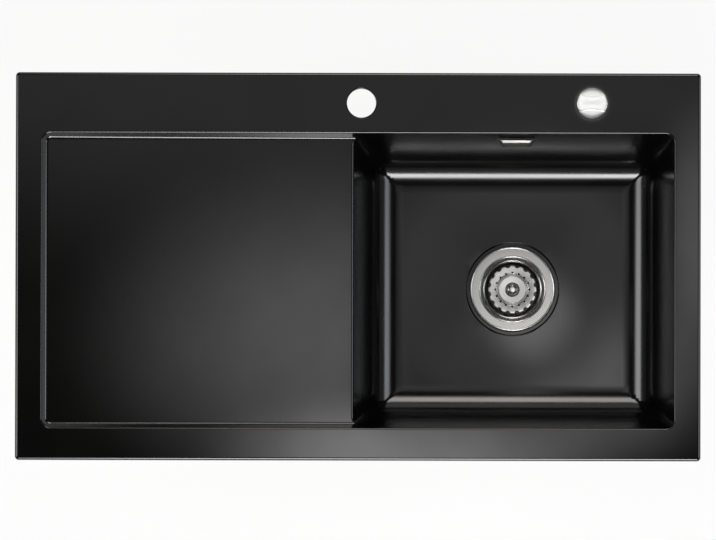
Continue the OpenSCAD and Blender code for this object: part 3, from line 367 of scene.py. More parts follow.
def paintMoulded(light, dark, lowRough, highRough, grainMm, depthMm):
    def paint(tree):
        flow = grain(tree, 25, 2.0, (1.0, 1.0, 0.4))
        return {
            "Base Color": blended(tree, flow, dark, light),
            "Roughness": ranged(tree, flow, lowRough, highRough),
            "Normal": bumped(tree, grain(tree, grainMm, 2.0), depthMm),
        }
    return paint


metal = {"Metallic": 1.0}
materials = {
    # fired satin glaze on fireclay: near black, with faint clouds and a fine orange-peel skin
    "glaze": makeMaterial("satinBlackGlaze", {"IOR": 1.6}, paintGlaze),
    # bisque fireclay below: pale and gritty, with glaze overspray that breaks up past the edge
    "biscuit": makeMaterial("fireclayBiscuit", {"IOR": 1.5, "Specular IOR Level": 0.35}, paintBiscuit),
    # spun stainless sheet: rings left by the lathe and the brushing pad
    "spunSteel": makeMaterial(
        "spunStainlessSteel", metal, paintSpun(drainAt, "#e2e1de", "#c8c7c4", 0.22, 0.34, 0.9, 0.006),
    ),
    # brushed stainless sheet: straight satin lines across the hood
    "brushedSteel": makeMaterial(
        "brushedStainlessSteel", metal,
        paintBrushed("#a9a8a5", "#8f8e8b", 0.25, 0.38, 0.5, (0.06, 1.0, 1.0), 0.006),
    ),
    # chromed zinc: bright, with the faint turning lines that plating leaves
    "chrome": makeMaterial(
        "polishedChrome", metal, paintSpun(controlAt, "#e2e2e0", "#d6d6d3", 0.20, 0.27, 0.7, 0.002),
    ),
    # chromed brass pull, turned round the drain's axis
    "pullChrome": makeMaterial(
        "turnedChrome", metal, paintSpun(drainAt, "#e2e2e0", "#d4d4d1", 0.20, 0.28, 0.5, 0.002),
    ),
    # machined stainless for screws, stems and shafts: fine turning marks
    "turnedSteel": makeMaterial(
        "machinedStainlessSteel", metal,
        paintBrushed("#bebdb9", "#9d9c98", 0.25, 0.42, 0.3, (1.0, 1.0, 0.3), 0.004),
    ),
    # moulded EPDM rubber: dull, slightly dusty black
    "rubber": makeMaterial(
        "mouldedRubber", {"IOR": 1.52, "Specular IOR Level": 0.3},
        paintMoulded("#1d1d1e", "#141415", 0.62, 0.78, 0.6, 0.02),
    ),
    # injection-moulded polypropylene: milky white with a waxy sheen
    "whitePlastic": makeMaterial(
        "whitePolypropylene", {"IOR": 1.49, "Subsurface Weight": 0.08, "Subsurface Scale": 0.002},
        paintMoulded("#e3e2dc", "#d6d5cd", 0.38, 0.48, 0.8, 0.012),
    ),
    # glass-filled nylon: dark grey with a spark-eroded texture
    "greyPlastic": makeMaterial(
        "sparkErodedNylon", {"IOR": 1.53}, paintMoulded("#43464a", "#383b3f", 0.48, 0.6, 0.45, 0.03),
    ),
    # extruded PVC sheath: smooth, with long soft streaks
    "sheath": makeMaterial(
        "extrudedSheath", {"IOR": 1.53}, paintMoulded("#202123", "#17181a", 0.36, 0.46, 1.4, 0.008),
    ),
}
print("materials made")


# A closed mesh in millimetres becomes an object in metres whose place is in its mesh
def makePiece(name, shape, finishes, faceFinish=None):
    points, faces = shape
    mesh = bpy.data.meshes.new(name)
    mesh.from_pydata((np.asarray(points, float) * mm).tolist(), [], [tuple(int(i) for i in f) for f in faces])
    for finish in finishes:
        mesh.materials.append(materials[finish])
    if faceFinish is not None:
        mesh.polygons.foreach_set("material_index", np.asarray(faceFinish, np.int32))
    mesh.update()
    return addObject(name, mesh)


# Turns a profile of [radius, height] points, closed through the axis or as a ring, round upright
def turnedShape(profile, centre=(0.0, 0.0), segments=96, ring=False):
    points, rows = [], []
    for radius, height in profile:
        if radius < 1e-6:
            rows.append([len(points)])
            points.append((centre[0], centre[1], height))
            continue
        rows.append(list(range(len(points), len(points) + segments)))
        for k in range(segments):
            angle = 2 * math.pi * k / segments
            x, y = centre[0] + radius * math.cos(angle), centre[1] + radius * math.sin(angle)
            points.append((x, y, height))
    faces = []
    pairs = list(zip(rows, rows[1:])) + ([(rows[-1], rows[0])] if ring else [])
    for lower, upper in pairs:
        for k in range(segments):
            n = (k + 1) % segments
            low, high = len(lower), len(upper)
            corners = [lower[k % low], lower[n % low], upper[n % high], upper[k % high]]
            corners = list(dict.fromkeys(corners))
            if len(corners) > 2:
                faces.append(corners)
    return points, faces


def arcPoints(centre, radius, start, end, steps):
    angles = np.radians(np.linspace(start, end, steps + 1))
    return [(centre[0] + radius * math.cos(a), centre[1] + radius * math.sin(a)) for a in angles]


def joinShapes(*shapes):
    points, faces = [], []
    for somePoints, someFaces in shapes:
        offset = len(points)
        points += [tuple(p) for p in somePoints]
        faces += [[i + offset for i in f] for f in someFaces]
    return points, faces


def movedShape(shape, matrix):
    points, faces = shape
    return [tuple(matrix @ Vector(p)) for p in points], faces


# Normals outwards, after doubles are merged
def tidyMesh(piece, merge=1e-6):
    work = bmesh.new()
    work.from_mesh(piece.data)
    bmesh.ops.remove_doubles(work, verts=work.verts, dist=merge)
    bmesh.ops.recalc_face_normals(work, faces=work.faces)
    work.to_mesh(piece.data)
    work.free()
    piece.data.update()
    return piece


def solidPiece(name, shape, finish):
    return tidyMesh(makePiece(name, shape, [finish]))


# Smooth faces with sharp edges where they turn more than the angle
def smoothUpTo(piece, degrees):
    work = bmesh.new()
    work.from_mesh(piece.data)
    limit = math.radians(degrees)
    for face in work.faces:
        face.smooth = True
    for edge in work.edges:
        edge.smooth = len(edge.link_faces) == 2 and edge.calc_face_angle(math.pi) < limit
    work.to_mesh(piece.data)
    work.free()


# The modifiers' result becomes the piece's own plain mesh
def settle(piece):
    evaluated = piece.evaluated_get(bpy.context.evaluated_depsgraph_get())
    mesh = bpy.data.meshes.new_from_object(evaluated)
    piece.modifiers.clear()
    old = piece.data
    piece.data = mesh
    mesh.name = piece.name
    bpy.data.meshes.remove(old)
    return piece


def combined(piece, tool, operation):
    boolean = piece.modifiers.new("combine", "BOOLEAN")
    boolean.operation = operation
    boolean.solver = "MANIFOLD"
    boolean.object = tool
    settle(piece)
    old = tool.data
    bpy.data.objects.remove(tool)
    bpy.data.meshes.remove(old)


# Adds a shape to the piece or cuts it away, in the finish of the piece that has the given number
def worked(piece, operation, shape, finishNumber=0):
    tool = tidyMesh(makePiece("tool", shape, []))
    for material in piece.data.materials:
        tool.data.materials.append(material)
    for face in tool.data.polygons:
        face.material_index = finishNumber
    combined(piece, tool, operation)


def rounded(piece, widthMm, segments, degrees):
    bevel = piece.modifiers.new("soften", "BEVEL")
    bevel.width = widthMm * mm
    bevel.segments = segments
    bevel.limit_method = "ANGLE"
    bevel.angle_limit = math.radians(degrees)
    bevel.harden_normals = False
    settle(piece)


def standFor(piece, body, finish, node):
    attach(piece, body)
    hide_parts(node)


def finished(piece, degrees, body, finish, node):
    smoothUpTo(piece, degrees)
    standFor(piece, body, finish, node)


# Basin: one surface that follows the air in it
basin = {
    "cornerRound": 5.0,
    "edgeRound": 4.0,
    "recessRound": 2.5,
    "sideRim": 35.0,
    "frontRim": 43.0,
    "tapDeck": 80.0,
    "recessCorner": 12.0,
    "drainerStep": 8.0,
    "drainerFall": 4.0,
    "stepRun": 5.8,
    "stepFillet": 2.0,
    "bowlWidth": 422.0,
    "bowlDepth": 190.0,
    "bowlInset": 28.5,
    "wallEase": 4.0,
    "floorFillet": 35.0,
    "floorFall": 3.0,
    "bottomCorner": 20.0,
    "dividerRound": 3.0,
    "wall": 10.0,
    "seatWidth": 12.0,
    "seatHeight": 2.0,
    "trayMargin": 8.0,
    "trayCorner": 20.0,
    "trayBevel": 7.0,
    "drainerWall": 12.0,
    "trayEdge": 6.0,
    "underFillet": 9.0,
    "footRound": 0.8,
}
rimTop = basinHigh.z
outline = (basinLow.x, basinLow.y, basinHigh.x, basinHigh.y)
recess = (
    outline[0] + basin["sideRim"], outline[1] + basin["frontRim"],
    outline[2] - basin["sideRim"], outline[3] - basin["tapDeck"],
)
bowl = (recess[2] - basin["bowlWidth"], recess[1], recess[2], recess[3])
wallTop = rimTop - basin["edgeRound"]
floorLevel = rimTop - basin["bowlDepth"]
lean = basin["bowlInset"] / (wallTop - floorLevel)
leanCos = 1 / math.hypot(1.0, lean)
drainerHigh = rimTop - basin["drainerStep"]
filletCentre = (wallTop - floorLevel - basin["floorFillet"]) * lean + basin["floorFillet"] / leanCos
trayLevel = drainerHigh - basin["drainerFall"] - basin["drainerWall"]


def roundedMax(a, b, radius):
    inner = np.minimum(np.maximum(a, b), -radius)
    return inner + np.hypot(np.maximum(a + radius, 0), np.maximum(b + radius, 0))


def boxDistance(x, y, box, corner, inset=0.0):
    across = np.abs(x - (box[0] + box[2]) / 2) - ((box[2] - box[0]) / 2 - inset - corner)
    deep = np.abs(y - (box[1] + box[3]) / 2) - ((box[3] - box[1]) / 2 - inset - corner)
    outside = np.hypot(np.maximum(across, 0), np.maximum(deep, 0))
    return outside + np.minimum(np.maximum(across, deep), 0) - corner


# The floor falls softly from the fillets to the recess round the waste
def floorHeight(x, y):
    halfX = (bowl[2] - bowl[0]) / 2 - filletCentre
    halfY = (bowl[3] - bowl[1]) / 2 - filletCentre
    reach = (np.abs((x - drainAt.x) / halfX) ** 4 + np.abs((y - drainAt.y) / halfY) ** 4) ** 0.25
    share = np.clip((1 - reach) / 0.6, 0, 1)
    return floorLevel - basin["floorFall"] * share ** 1.5


# Below zero in the air of the bowl or of the drainer, in millimetres from their surfaces
def airDistance(x, y, z):
    below = np.maximum(wallTop - z, 0)
    ease = basin["wallEase"]
    leaned = lean * np.where(below < ease, below ** 2 / (2 * ease), below - ease / 2)
    share = np.clip(below / (wallTop - floorLevel - basin["floorFillet"]), 0, 1)
    corner = basin["recessCorner"] + (basin["bottomCorner"] - basin["recessCorner"]) * share
    walls = boxDistance(x, y, bowl, corner, leaned) * leanCos
    inBowl = roundedMax(walls, floorHeight(x, y) - z, basin["floorFillet"])
    plane = drainerHigh - basin["drainerFall"] * (x - recess[0]) / (bowl[0] - recess[0])
    stepTop = rimTop - basin["recessRound"]
    step = basin["stepRun"] * np.clip((stepTop - z) / (stepTop - plane), 0, 1.4)
    drainerBox = (recess[0], recess[1], bowl[0] + 25, recess[3])
    sides = boxDistance(x, y, drainerBox, basin["recessCorner"]) + step
    inDrainer = roundedMax(sides, plane - z, basin["stepFillet"])
    clear = np.clip((np.minimum(y - recess[1], recess[3] - y) - 3) / 12, 0, 1)
    soft = 0.02 + basin["dividerRound"] * clear * clear * (3 - 2 * clear)
    return -roundedMax(-inBowl, -inDrainer, soft)


# Below zero in the glazed ceramic, seen from above
def upperDistance(x, y, z):
    slab = roundedMax(z - rimTop, boxDistance(x, y, outline, basin["cornerRound"]), basin["edgeRound"])
    return roundedMax(slab, -airDistance(x, y, z), basin["recessRound"])


# A union whose inner corner is filled with a fillet
def filletedUnion(a, b, radius):
    inner = np.maximum(np.minimum(a, b), radius)
    return inner - np.hypot(np.maximum(radius - a, 0), np.maximum(radius - b, 0))


# Below zero in the casting that hangs under the rim
def lowerDistance(x, y, z):
    drop = np.maximum(basin["seatHeight"] - z, 0)
    depth = basin["seatHeight"] - trayLevel
    tray = (recess[0] - basin["trayMargin"], recess[1] - basin["trayMargin"],
            recess[2] + basin["trayMargin"], recess[3] + basin["trayMargin"])
    slope = basin["trayBevel"] * np.clip(drop / depth, 0, 1.5)
    sides = boxDistance(x, y, tray, basin["trayCorner"]) + slope
    inTray = roundedMax(sides, trayLevel - z, basin["trayEdge"])
    below = np.maximum(wallTop - z, 0)
    share = np.clip(below / (wallTop - floorLevel), 0, 1)
    corner = basin["recessCorner"] + basin["wall"] + basin["wall"] * share
    thick = -basin["wall"] / leanCos
    walls = boxDistance(x, y, bowl, corner, lean * below + thick) * leanCos
    inBowl = roundedMax(walls, floorLevel - basin["wall"] - z, basin["floorFillet"] + basin["wall"])
    return filletedUnion(inTray, inBowl, basin["underFillet"])


def rootHeight(distance, x, y, low, high, rising):
    low = np.full(x.shape, float(low))
    high = np.full(x.shape, float(high))
    halvings = 34
    for _ in range(halvings):
        middle = (low + high) / 2
        inside = distance(x, y, middle) < 0
        up = inside if rising else ~inside
        low = np.where(up, middle, low)
        high = np.where(up, high, middle)
    return (low + high) / 2


# Distances from an edge of the outline to the recess, dense where the surface turns
def rimSteps(width):
    turn = [basin["edgeRound"] * (1 - math.cos(a)) for a in np.linspace(0, math.pi / 2, 9)]
    foot = basin["seatWidth"]
    steps = turn + [5.0, 6.5, 9.0, foot, foot + 0.6, foot + 1.2, foot + 2.2, foot + 5]
    steps += list(np.arange(foot + 11, width - 13, 7.0))
    steps += [width - basin["trayMargin"] - d for d in (2.5, 1.0, 0.0, -1.0, -2.2)]
    return steps + [width - d for d in turn]


# Distances into the recess from its edge, down the step or the wall to the floor's start
def wallSteps(fine):
    foot = basin["stepRun"]
    steps = [0.0, 0.04, 0.14, 0.3, 0.55, 0.9, 1.35, 1.9, 2.6, 3.4, 4.0]
    steps += [foot + d for d in (-1.3, -0.9, -0.5, -0.1, 0.3, 0.7, 1.1, 1.7, 2.6, 3.6, 5.0, 6.6)]
    near = len(steps)
    steps += list(np.arange(15.0, filletCentre - basin["floorFillet"], 3.0))
    turn = [filletCentre - basin["floorFillet"] / leanCos * math.sin(a) for a in np.linspace(1.38, 0, 13)]
    return steps + turn if fine else steps[:near] + [15.0]


def spacedOut(first, last, about):
    return list(np.linspace(first, last, int(round((last - first) / about)) + 1))


def basinLines():
    left = [outline[0] + d for d in rimSteps(basin["sideRim"])]
    left += [recess[0] + d for d in wallSteps(False)]
    drainer = spacedOut(recess[0] + 18, bowl[0] - 6, 12)
    divider = spacedOut(bowl[0] - 4.6, bowl[0] + 4.6, 0.38) + [bowl[0] + d for d in (5.6, 7.2, 9.4, 12)]
    divider += [bowl[0] + d for d in wallSteps(True) if d > 13]
    floorX = spacedOut(bowl[0] + filletCentre, bowl[2] - filletCentre, 9)
    right = [recess[2] - d for d in wallSteps(True)] + [outline[2] - d for d in rimSteps(basin["sideRim"])]
    front = [outline[1] + d for d in rimSteps(basin["frontRim"])] + [recess[1] + d for d in wallSteps(True)]
    floorY = spacedOut(bowl[1] + filletCentre, bowl[3] - filletCentre, 9)
    rear = [recess[3] - d for d in wallSteps(True)] + [outline[3] - d for d in rimSteps(basin["tapDeck"])]

    def apart(values):
        values = sorted(values)
        kept = [values[0]]
        for value in values[1:]:
            if value - kept[-1] > 0.03:
                kept.append(value)
        return np.array(kept)
    return apart(left + drainer + divider + floorX + right), apart(front + floorY + rear)


# Corner squares of the grid are pulled onto the outline's quarter discs
def roundCorners(x, y):
    r = basin["cornerRound"]
    outX = np.abs(x) - (outline[2] - r)
    outY = np.abs(y) - (outline[3] - r)
    inCorner = (outX > 0) & (outY > 0)
    share = np.maximum(outX, outY) / np.maximum(np.hypot(outX, outY), 1e-9)
    newX = np.where(inCorner, np.sign(x) * (outline[2] - r + outX * share), x)
    newY = np.where(inCorner, np.sign(y) * (outline[3] - r + outY * share), y)
    return newX, newY


def basinSurface():
    xLines, yLines = basinLines()
    x, y = np.meshgrid(xLines, yLines, indexing="ij")
    x, y = roundCorners(x, y)
    fromEdge = np.maximum(-boxDistance(x, y, outline, basin["cornerRound"]), 0)
    edge = basin["edgeRound"]
    top = rootHeight(upperDistance, x, y, floorLevel - 12, rimTop + 1, True)
    turned = wallTop + np.sqrt(np.maximum(edge ** 2 - (edge - np.minimum(fromEdge, edge)) ** 2, 0))
    top = np.where(fromEdge < edge + 1, turned, top)
    under = rootHeight(lowerDistance, x, y, floorLevel - 30, basin["seatHeight"], False)
    foot = basin["footRound"]
    ramp = np.clip((fromEdge - basin["seatWidth"]) / 1.2, 0, 1) * basin["seatHeight"]
    lip = foot - np.sqrt(np.maximum(foot ** 2 - (foot - np.minimum(fromEdge, foot)) ** 2, 0))
    under = np.where(fromEdge < basin["seatWidth"] + 3, ramp + lip, under)

    across, deep = x.shape
    count = across * deep
    points = np.concatenate([np.stack([x, y, level], -1).reshape(-1, 3) for level in (top, under)])
    index = np.arange(count).reshape(across, deep)
    quads = np.stack([index[:-1, :-1], index[1:, :-1], index[1:, 1:], index[:-1, 1:]], -1).reshape(-1, 4)
    loop = np.concatenate([index[:-1, 0], index[-1, :-1], index[:0:-1, -1], index[0, :0:-1]])
    following = np.roll(loop, -1)
    sides = np.stack([loop, loop + count, following + count, following], -1)
    faces = np.concatenate([quads, quads[:, ::-1] + count, sides])
    surface = np.concatenate([np.zeros(len(quads)), np.ones(len(quads)), np.zeros(len(sides))])
    return (points, faces), surface


waste = {
    "recessRadius": 61.0,
    "recessDepth": 3.0,
    "recessLip": 1.6,
    "recessFillet": 1.2,
    "holeRadius": 45.0,
    "bossWall": 12.0,
    "bossTop": 68.0,
    "bossFoot": 63.0,
    "bossRound": 1.5,
}
deckHoles = {
    "tapRadius": 19.0,
    "tapAt": (4.0, 215.0),
    "tapLip": 1.5,
    "controlRadius": 17.5,
    "controlLip": 0.8,
}
overflow = {
    "slotWidth": 38.0,
    "slotHeight": 12.0,
    "drop": 36.0,
    "offset": 4.0,
    "lean": 0.1989,
}
overflowLevel = rimTop - overflow["drop"]
overflowAt = Vector((
    drainAt.x + overflow["offset"], bowl[3] - overflow["lean"] * (wallTop - overflowLevel), overflowLevel,
))
# Local y runs out through the rear wall, and local z up along it
overflowPlace = Matrix.Translation(overflowAt) @ Matrix.Rotation(-math.atan(overflow["lean"]), 4, "X")


def stadium(width, height, depthFrom, depthTo, steps=20):
    half = (width - height) / 2
    ring = [(half + px, pz) for px, pz in arcPoints((0, 0), height / 2, -90, 90, steps)]
    ring += [(-half + px, pz) for px, pz in arcPoints((0, 0), height / 2, 90, 270, steps)]
    count = len(ring)
    points = [(px, depth, pz) for depth in (depthFrom, depthTo) for px, pz in ring]
    faces = [list(range(count)), list(range(2 * count - 1, count - 1, -1))]
    faces += [[(k + 1) % count, k, k + count, (k + 1) % count + count] for k in range(count)]
    return points, faces


def buildBasin():
    shape, surface = basinSurface()
    piece = makePiece("glazedBasin", shape, ["glaze", "biscuit"], surface)
    seat = floorLevel - basin["floorFall"] - waste["recessDepth"]
    bossFoot = seat - waste["bossWall"]
    edge = waste["bossRound"]
    arc = arcPoints((-edge, 0), edge, 0, -90, 4)
    boss = turnedShape(
        [(0, floorLevel - 6), (waste["bossTop"], floorLevel - 6)]
        + [(waste["bossFoot"] + px, bossFoot + edge + pz) for px, pz in arc] + [(0, bossFoot)],
        drainAxis, 128,
    )
    worked(piece, "UNION", boss, 1)

    r, lip, fillet = waste["recessRadius"], waste["recessLip"], waste["recessFillet"]
    rimLevel = floorLevel - basin["floorFall"] + 0.08
    recessCut = turnedShape(
        [(0, floorLevel + 40), (r + lip, floorLevel + 40)]
        + arcPoints((r + lip, rimLevel - lip), lip, 90, 180, 5)
        + arcPoints((r - fillet, seat + fillet), fillet, 0, -90, 4)
        + arcPoints((waste["holeRadius"] + 1, seat - 1), 1.0, 90, 180, 4)
        + [(waste["holeRadius"], bossFoot - 5), (0, bossFoot - 5)],
        drainAxis, 160,
    )

    def deckCut(place, radius, flare):
        return turnedShape(
            [(0, rimTop + 8), (radius + flare, rimTop + 8)]
            + arcPoints((radius + flare, rimTop - flare), flare, 86, 180, 5)
            + [(radius, -20), (0, -20)],
            place, 96,
        )
    tapCut = deckCut(deckHoles["tapAt"], deckHoles["tapRadius"], deckHoles["tapLip"])
    controlCut = deckCut(controlAxis, deckHoles["controlRadius"], deckHoles["controlLip"])
    slot = stadium(overflow["slotWidth"], overflow["slotHeight"], -6, basin["wall"] + 8)
    cuts = joinShapes(recessCut, tapCut, controlCut, movedShape(slot, overflowPlace))
    worked(piece, "DIFFERENCE", cuts)
    smoothUpTo(piece, 40)
    glazeNormals(piece)
    standFor(piece, "sink", "glaze", "ceramic_basin")


normalProbe = {
    "step": 0.01,
    "near": 0.03,
    "leastSlope": 0.3,
    "agreement": 0.8,
    "depth": 6.0,
}


# The glazed faces take their normals from the surface's own formula
def glazeNormals(piece):
    mesh = piece.data
    count = len(mesh.vertices)
    co = np.zeros(count * 3, np.float32)
    mesh.vertices.foreach_get("co", co)
    co = co.reshape(-1, 3).astype(float) / mm
    step = normalProbe["step"]
    parts = []
    for axis in range(3):
        ahead, behind = co.copy(), co.copy()
        ahead[:, axis] += step
        behind[:, axis] -= step
        parts.append(upperDistance(*ahead.T) - upperDistance(*behind.T))
    slope = np.stack(parts, -1) / (2 * step)
    length = np.linalg.norm(slope, axis=1)
    normals = slope / np.maximum(length, 1e-9)[:, None]
    onSurface = np.abs(upperDistance(*co.T)) < normalProbe["near"]
    onSurface &= (length > normalProbe["leastSlope"]) & (co[:, 2] > floorLevel - normalProbe["depth"])
    steepness = mesh.attributes.new("steepness", "FLOAT", "POINT")
    steepness.data.foreach_set("value", np.where(onSurface, 1 - np.abs(normals[:, 2]), 0).astype(np.float32))
    loops = len(mesh.loops)
    vertexOf = np.zeros(loops, np.int32)
    mesh.loops.foreach_get("vertex_index", vertexOf)
    sizes = np.zeros(len(mesh.polygons), np.int32)
    mesh.polygons.foreach_get("loop_total", sizes)
    faceNormals = np.zeros(len(mesh.polygons) * 3, np.float32)
    mesh.polygons.foreach_get("normal", faceNormals)
    faceNormals = np.repeat(faceNormals.reshape(-1, 3), sizes, axis=0)
    agree = (faceNormals * normals[vertexOf]).sum(1) > normalProbe["agreement"]
    custom = np.where((onSurface[vertexOf] & agree)[:, None], normals[vertexOf], 0.0)
    mesh.normals_split_custom_set(custom.tolist())


buildBasin()
print("basin built")


# Geometry nodes for what repeats
def newTree(name, inputs, output):
    tree = bpy.data.node_groups.new(name, "GeometryNodeTree")
    tree.is_modifier = True
    for label, kind in inputs.items():
        tree.interface.new_socket(label, in_out="INPUT", socket_type="NodeSocket" + kind)
    tree.interface.new_socket(output, in_out="OUTPUT", socket_type="NodeSocketGeometry")
    return tree, addNode(tree, "NodeGroupInput").outputs


def finishTree(tree, start, geometry):
    real = added(tree, "GeometryNodeRealizeInstances", {"Geometry": geometry})
    painted = added(tree, "GeometryNodeSetMaterial", {"Geometry": real, "Material": start["Finish"]})
    addNode(tree, "NodeGroupOutput", {0: painted})
    return tree


# Copies of the piece's own mesh, spread evenly round an upright axis
def ringTree():
    tree, start = newTree("ringOfCopies", {
        "Item": "Geometry", "Count": "Int", "Radius": "Float", "First Turn": "Float", "Centre": "Vector",
        "Finish": "Material",
    }, "Copies")
    ring = added(tree, "GeometryNodeMeshCircle", {"Vertices": start["Count"], "Radius": start["Radius"]})
    share = calc(tree, "DIVIDE", added(tree, "GeometryNodeInputIndex"), start["Count"])
    spin = vectorOf(tree, Z=calc(tree, "MULTIPLY", share, 2 * math.pi))
    copies = added(tree, "GeometryNodeInstanceOnPoints", {
        "Points": ring, "Instance": start["Item"], "Rotation": spin,
    })
    placed = added(tree, "GeometryNodeTransform", {
        "Geometry": copies, "Translation": start["Centre"], "Rotation": vectorOf(tree, Z=start["First Turn"]),
    })
    return finishTree(tree, start, placed)


# A closed tube along the piece's own edges, its radius swelling from Valley to Crest at each rib
def tubeTree():
    tree, start = newTree("ribbedTube", {
        "Path": "Geometry", "Valley": "Float", "Crest": "Float", "Pitch": "Float", "Step": "Float",
        "Sides": "Int", "Finish": "Material",
    }, "Tube")
    curve = added(tree, "GeometryNodeMeshToCurve", {"Mesh": start["Path"]})
    even = added(tree, "GeometryNodeResampleCurve", {"Curve": curve, "Length": start["Step"]}, mode="LENGTH")
    along = addNode(tree, "GeometryNodeSplineParameter").outputs["Length"]
    turns = calc(tree, "MULTIPLY", calc(tree, "DIVIDE", along, start["Pitch"]), 2 * math.pi)
    radius = mapped(
        tree, calc(tree, "COSINE", turns), 0.6, -0.6, start["Valley"], start["Crest"],
        interpolation_type="SMOOTHSTEP",
    )
    ring = added(tree, "GeometryNodeCurvePrimitiveCircle", {"Resolution": start["Sides"], "Radius": 1.0})
    body = added(tree, "GeometryNodeCurveToMesh", {
        "Curve": even, "Profile Curve": ring, "Fill Caps": True, "Scale": radius,
    })
    return finishTree(tree, start, body)


def grown(piece, tree, values):
    modifier = piece.modifiers.new("grow", "NODES")
    modifier.node_group = tree
    for item in tree.interface.items_tree:
        if item.item_type == "SOCKET" and item.in_out == "INPUT" and item.name in values:
            modifier[item.identifier] = values[item.name]
    return settle(piece)


copiesInRing = ringTree()
ribbedTube = tubeTree()


# Corners of a line are eased, and a sheet of even thickness follows it
def easedLine(line, ease, steps=4):
    line = [Vector((*p, 0)) for p in line]
    out = [line[0]]
    for before, corner, after in zip(line, line[1:], line[2:]):
        reach = min(ease, (corner - before).length * 0.45, (after - corner).length * 0.45)
        first = corner + (before - corner).normalized() * reach
        last = corner + (after - corner).normalized() * reach
        for step in range(steps + 1):
            t = step / steps
            out.append(first * (1 - t) ** 2 + corner * 2 * t * (1 - t) + last * t ** 2)
    out.append(line[-1])
    return [(p.x, p.y) for p in out]


def sheetRing(line, thickness):
    line = [np.array(p, float) for p in line]
    under = []
    for i, point in enumerate(line):
        ahead = line[min(i + 1, len(line) - 1)] - line[max(i - 1, 0)]
        ahead /= np.linalg.norm(ahead)
        under.append(point + thickness * np.array([-ahead[1], ahead[0]]))
    return [tuple(p) for p in line] + [tuple(p) for p in reversed(under)]


# Waste fitting
strainer = {
    "sheet": 1.2,
    "flangeRadius": 56.0,
    "bead": 0.45,
    "mouthRadius": 42.5,
    "mouthDrop": 1.6,
    "shoulder": 5.0,
    "cupRadius": 35.5,
    "cupDepth": 30.0,
    "seatRadius": 22.5,
    "openingRadius": 20.5,
    "openingDrop": 35.7,
    "bridge": 1.5,
    "hubRadius": 9.0,
    "boltRadius": 5.05,
    "armWidth": 5.0,
}
basket = {
    "sheet": 1.0,
    "radius": 32.0,
    "rimDrop": 8.0,
    "discDrop": 15.0,
    "teeth": 16,
    "notchRadius": 3.7,
    "notchAt": 32.3,
    "holeRadius": 1.4,
    "drill": 12.0,
    "holeAt": 22.5,
    "discRadius": 19.25,
    "stemRadius": 3.05,
}
drainLevel = floorLevel - basin["floorFall"]


# A straight arm out from the drain's axis; each level is a height and half its width at both ends
def armShape(degrees, start, end, levels):
    corners = []
    for height, halfStart, halfEnd in levels:
        corners += [(start, -halfStart, height), (end, -halfEnd, height)]
        corners += [(end, halfEnd, height), (start, halfStart, height)]
    faces = [[3, 2, 1, 0], [4, 5, 6, 7], [0, 1, 5, 4], [1, 2, 6, 5], [2, 3, 7, 6], [3, 0, 4, 7]]
    turn = Matrix.Translation((*drainAxis, 0)) @ Matrix.Rotation(math.radians(degrees), 4, "Z")
    return movedShape((corners, faces), turn)


# Copies of a shape round an upright axis, as one tool for a boolean
def ringOf(shape, finish, count, radius, centre, firstTurn=0.0):
    return grown(solidPiece("ringItem", shape, finish), copiesInRing, {
        "Count": count, "Radius": radius * mm, "First Turn": firstTurn,
        "Centre": tuple(c * mm for c in centre), "Finish": materials[finish],
    })


def buildStrainer():
    s = strainer
    top = drainLevel
    cup = top - s["cupDepth"]
    r = s["flangeRadius"]
    mouth = top - s["mouthDrop"]
    line = [
        (r, top - 1.2), (r, top - 0.3), (r - 0.9, top + s["bead"]), (r - 2.2, top - 0.25),
        (s["mouthRadius"] + 1.5, mouth + 0.25), (s["mouthRadius"] - 0.4, mouth - 0.6),
        (s["cupRadius"] + 3.2, mouth - s["shoulder"] + 0.4),
        (s["cupRadius"] + 1.3, mouth - s["shoulder"] - 0.2),
        (s["cupRadius"], mouth - s["shoulder"] - 2.0), (s["cupRadius"], cup + 4.0),
        (s["cupRadius"] - 2.5, cup + 1.5), (s["seatRadius"], cup),
        (s["openingRadius"], top - s["openingDrop"]),
    ]
    shell = turnedShape(sheetRing(easedLine(line, 1.3), s["sheet"]), drainAxis, 144, ring=True)
    piece = solidPiece("strainerFlange", shell, "spunSteel")
    bridgeTop = top - s["openingDrop"]
    half = s["armWidth"] / 2
    levels = [(height, half * 1.3, half) for height in (bridgeTop - s["bridge"], bridgeTop + 0.3)]
    start, end = s["hubRadius"] - 1, s["openingRadius"] + 0.7
    worked(piece, "UNION", joinShapes(*(armShape(45 + 90 * k, start, end, levels) for k in range(4))))
    hub = turnedShape(
        [(s["boltRadius"], bridgeTop - s["bridge"]), (s["hubRadius"], bridgeTop - s["bridge"]),
         (s["hubRadius"], bridgeTop), (s["boltRadius"], bridgeTop)],
        drainAxis, 48, ring=True,
    )
    worked(piece, "UNION", hub)
    finished(piece, 35, "sink", "spunSteel", "strainer_flange")


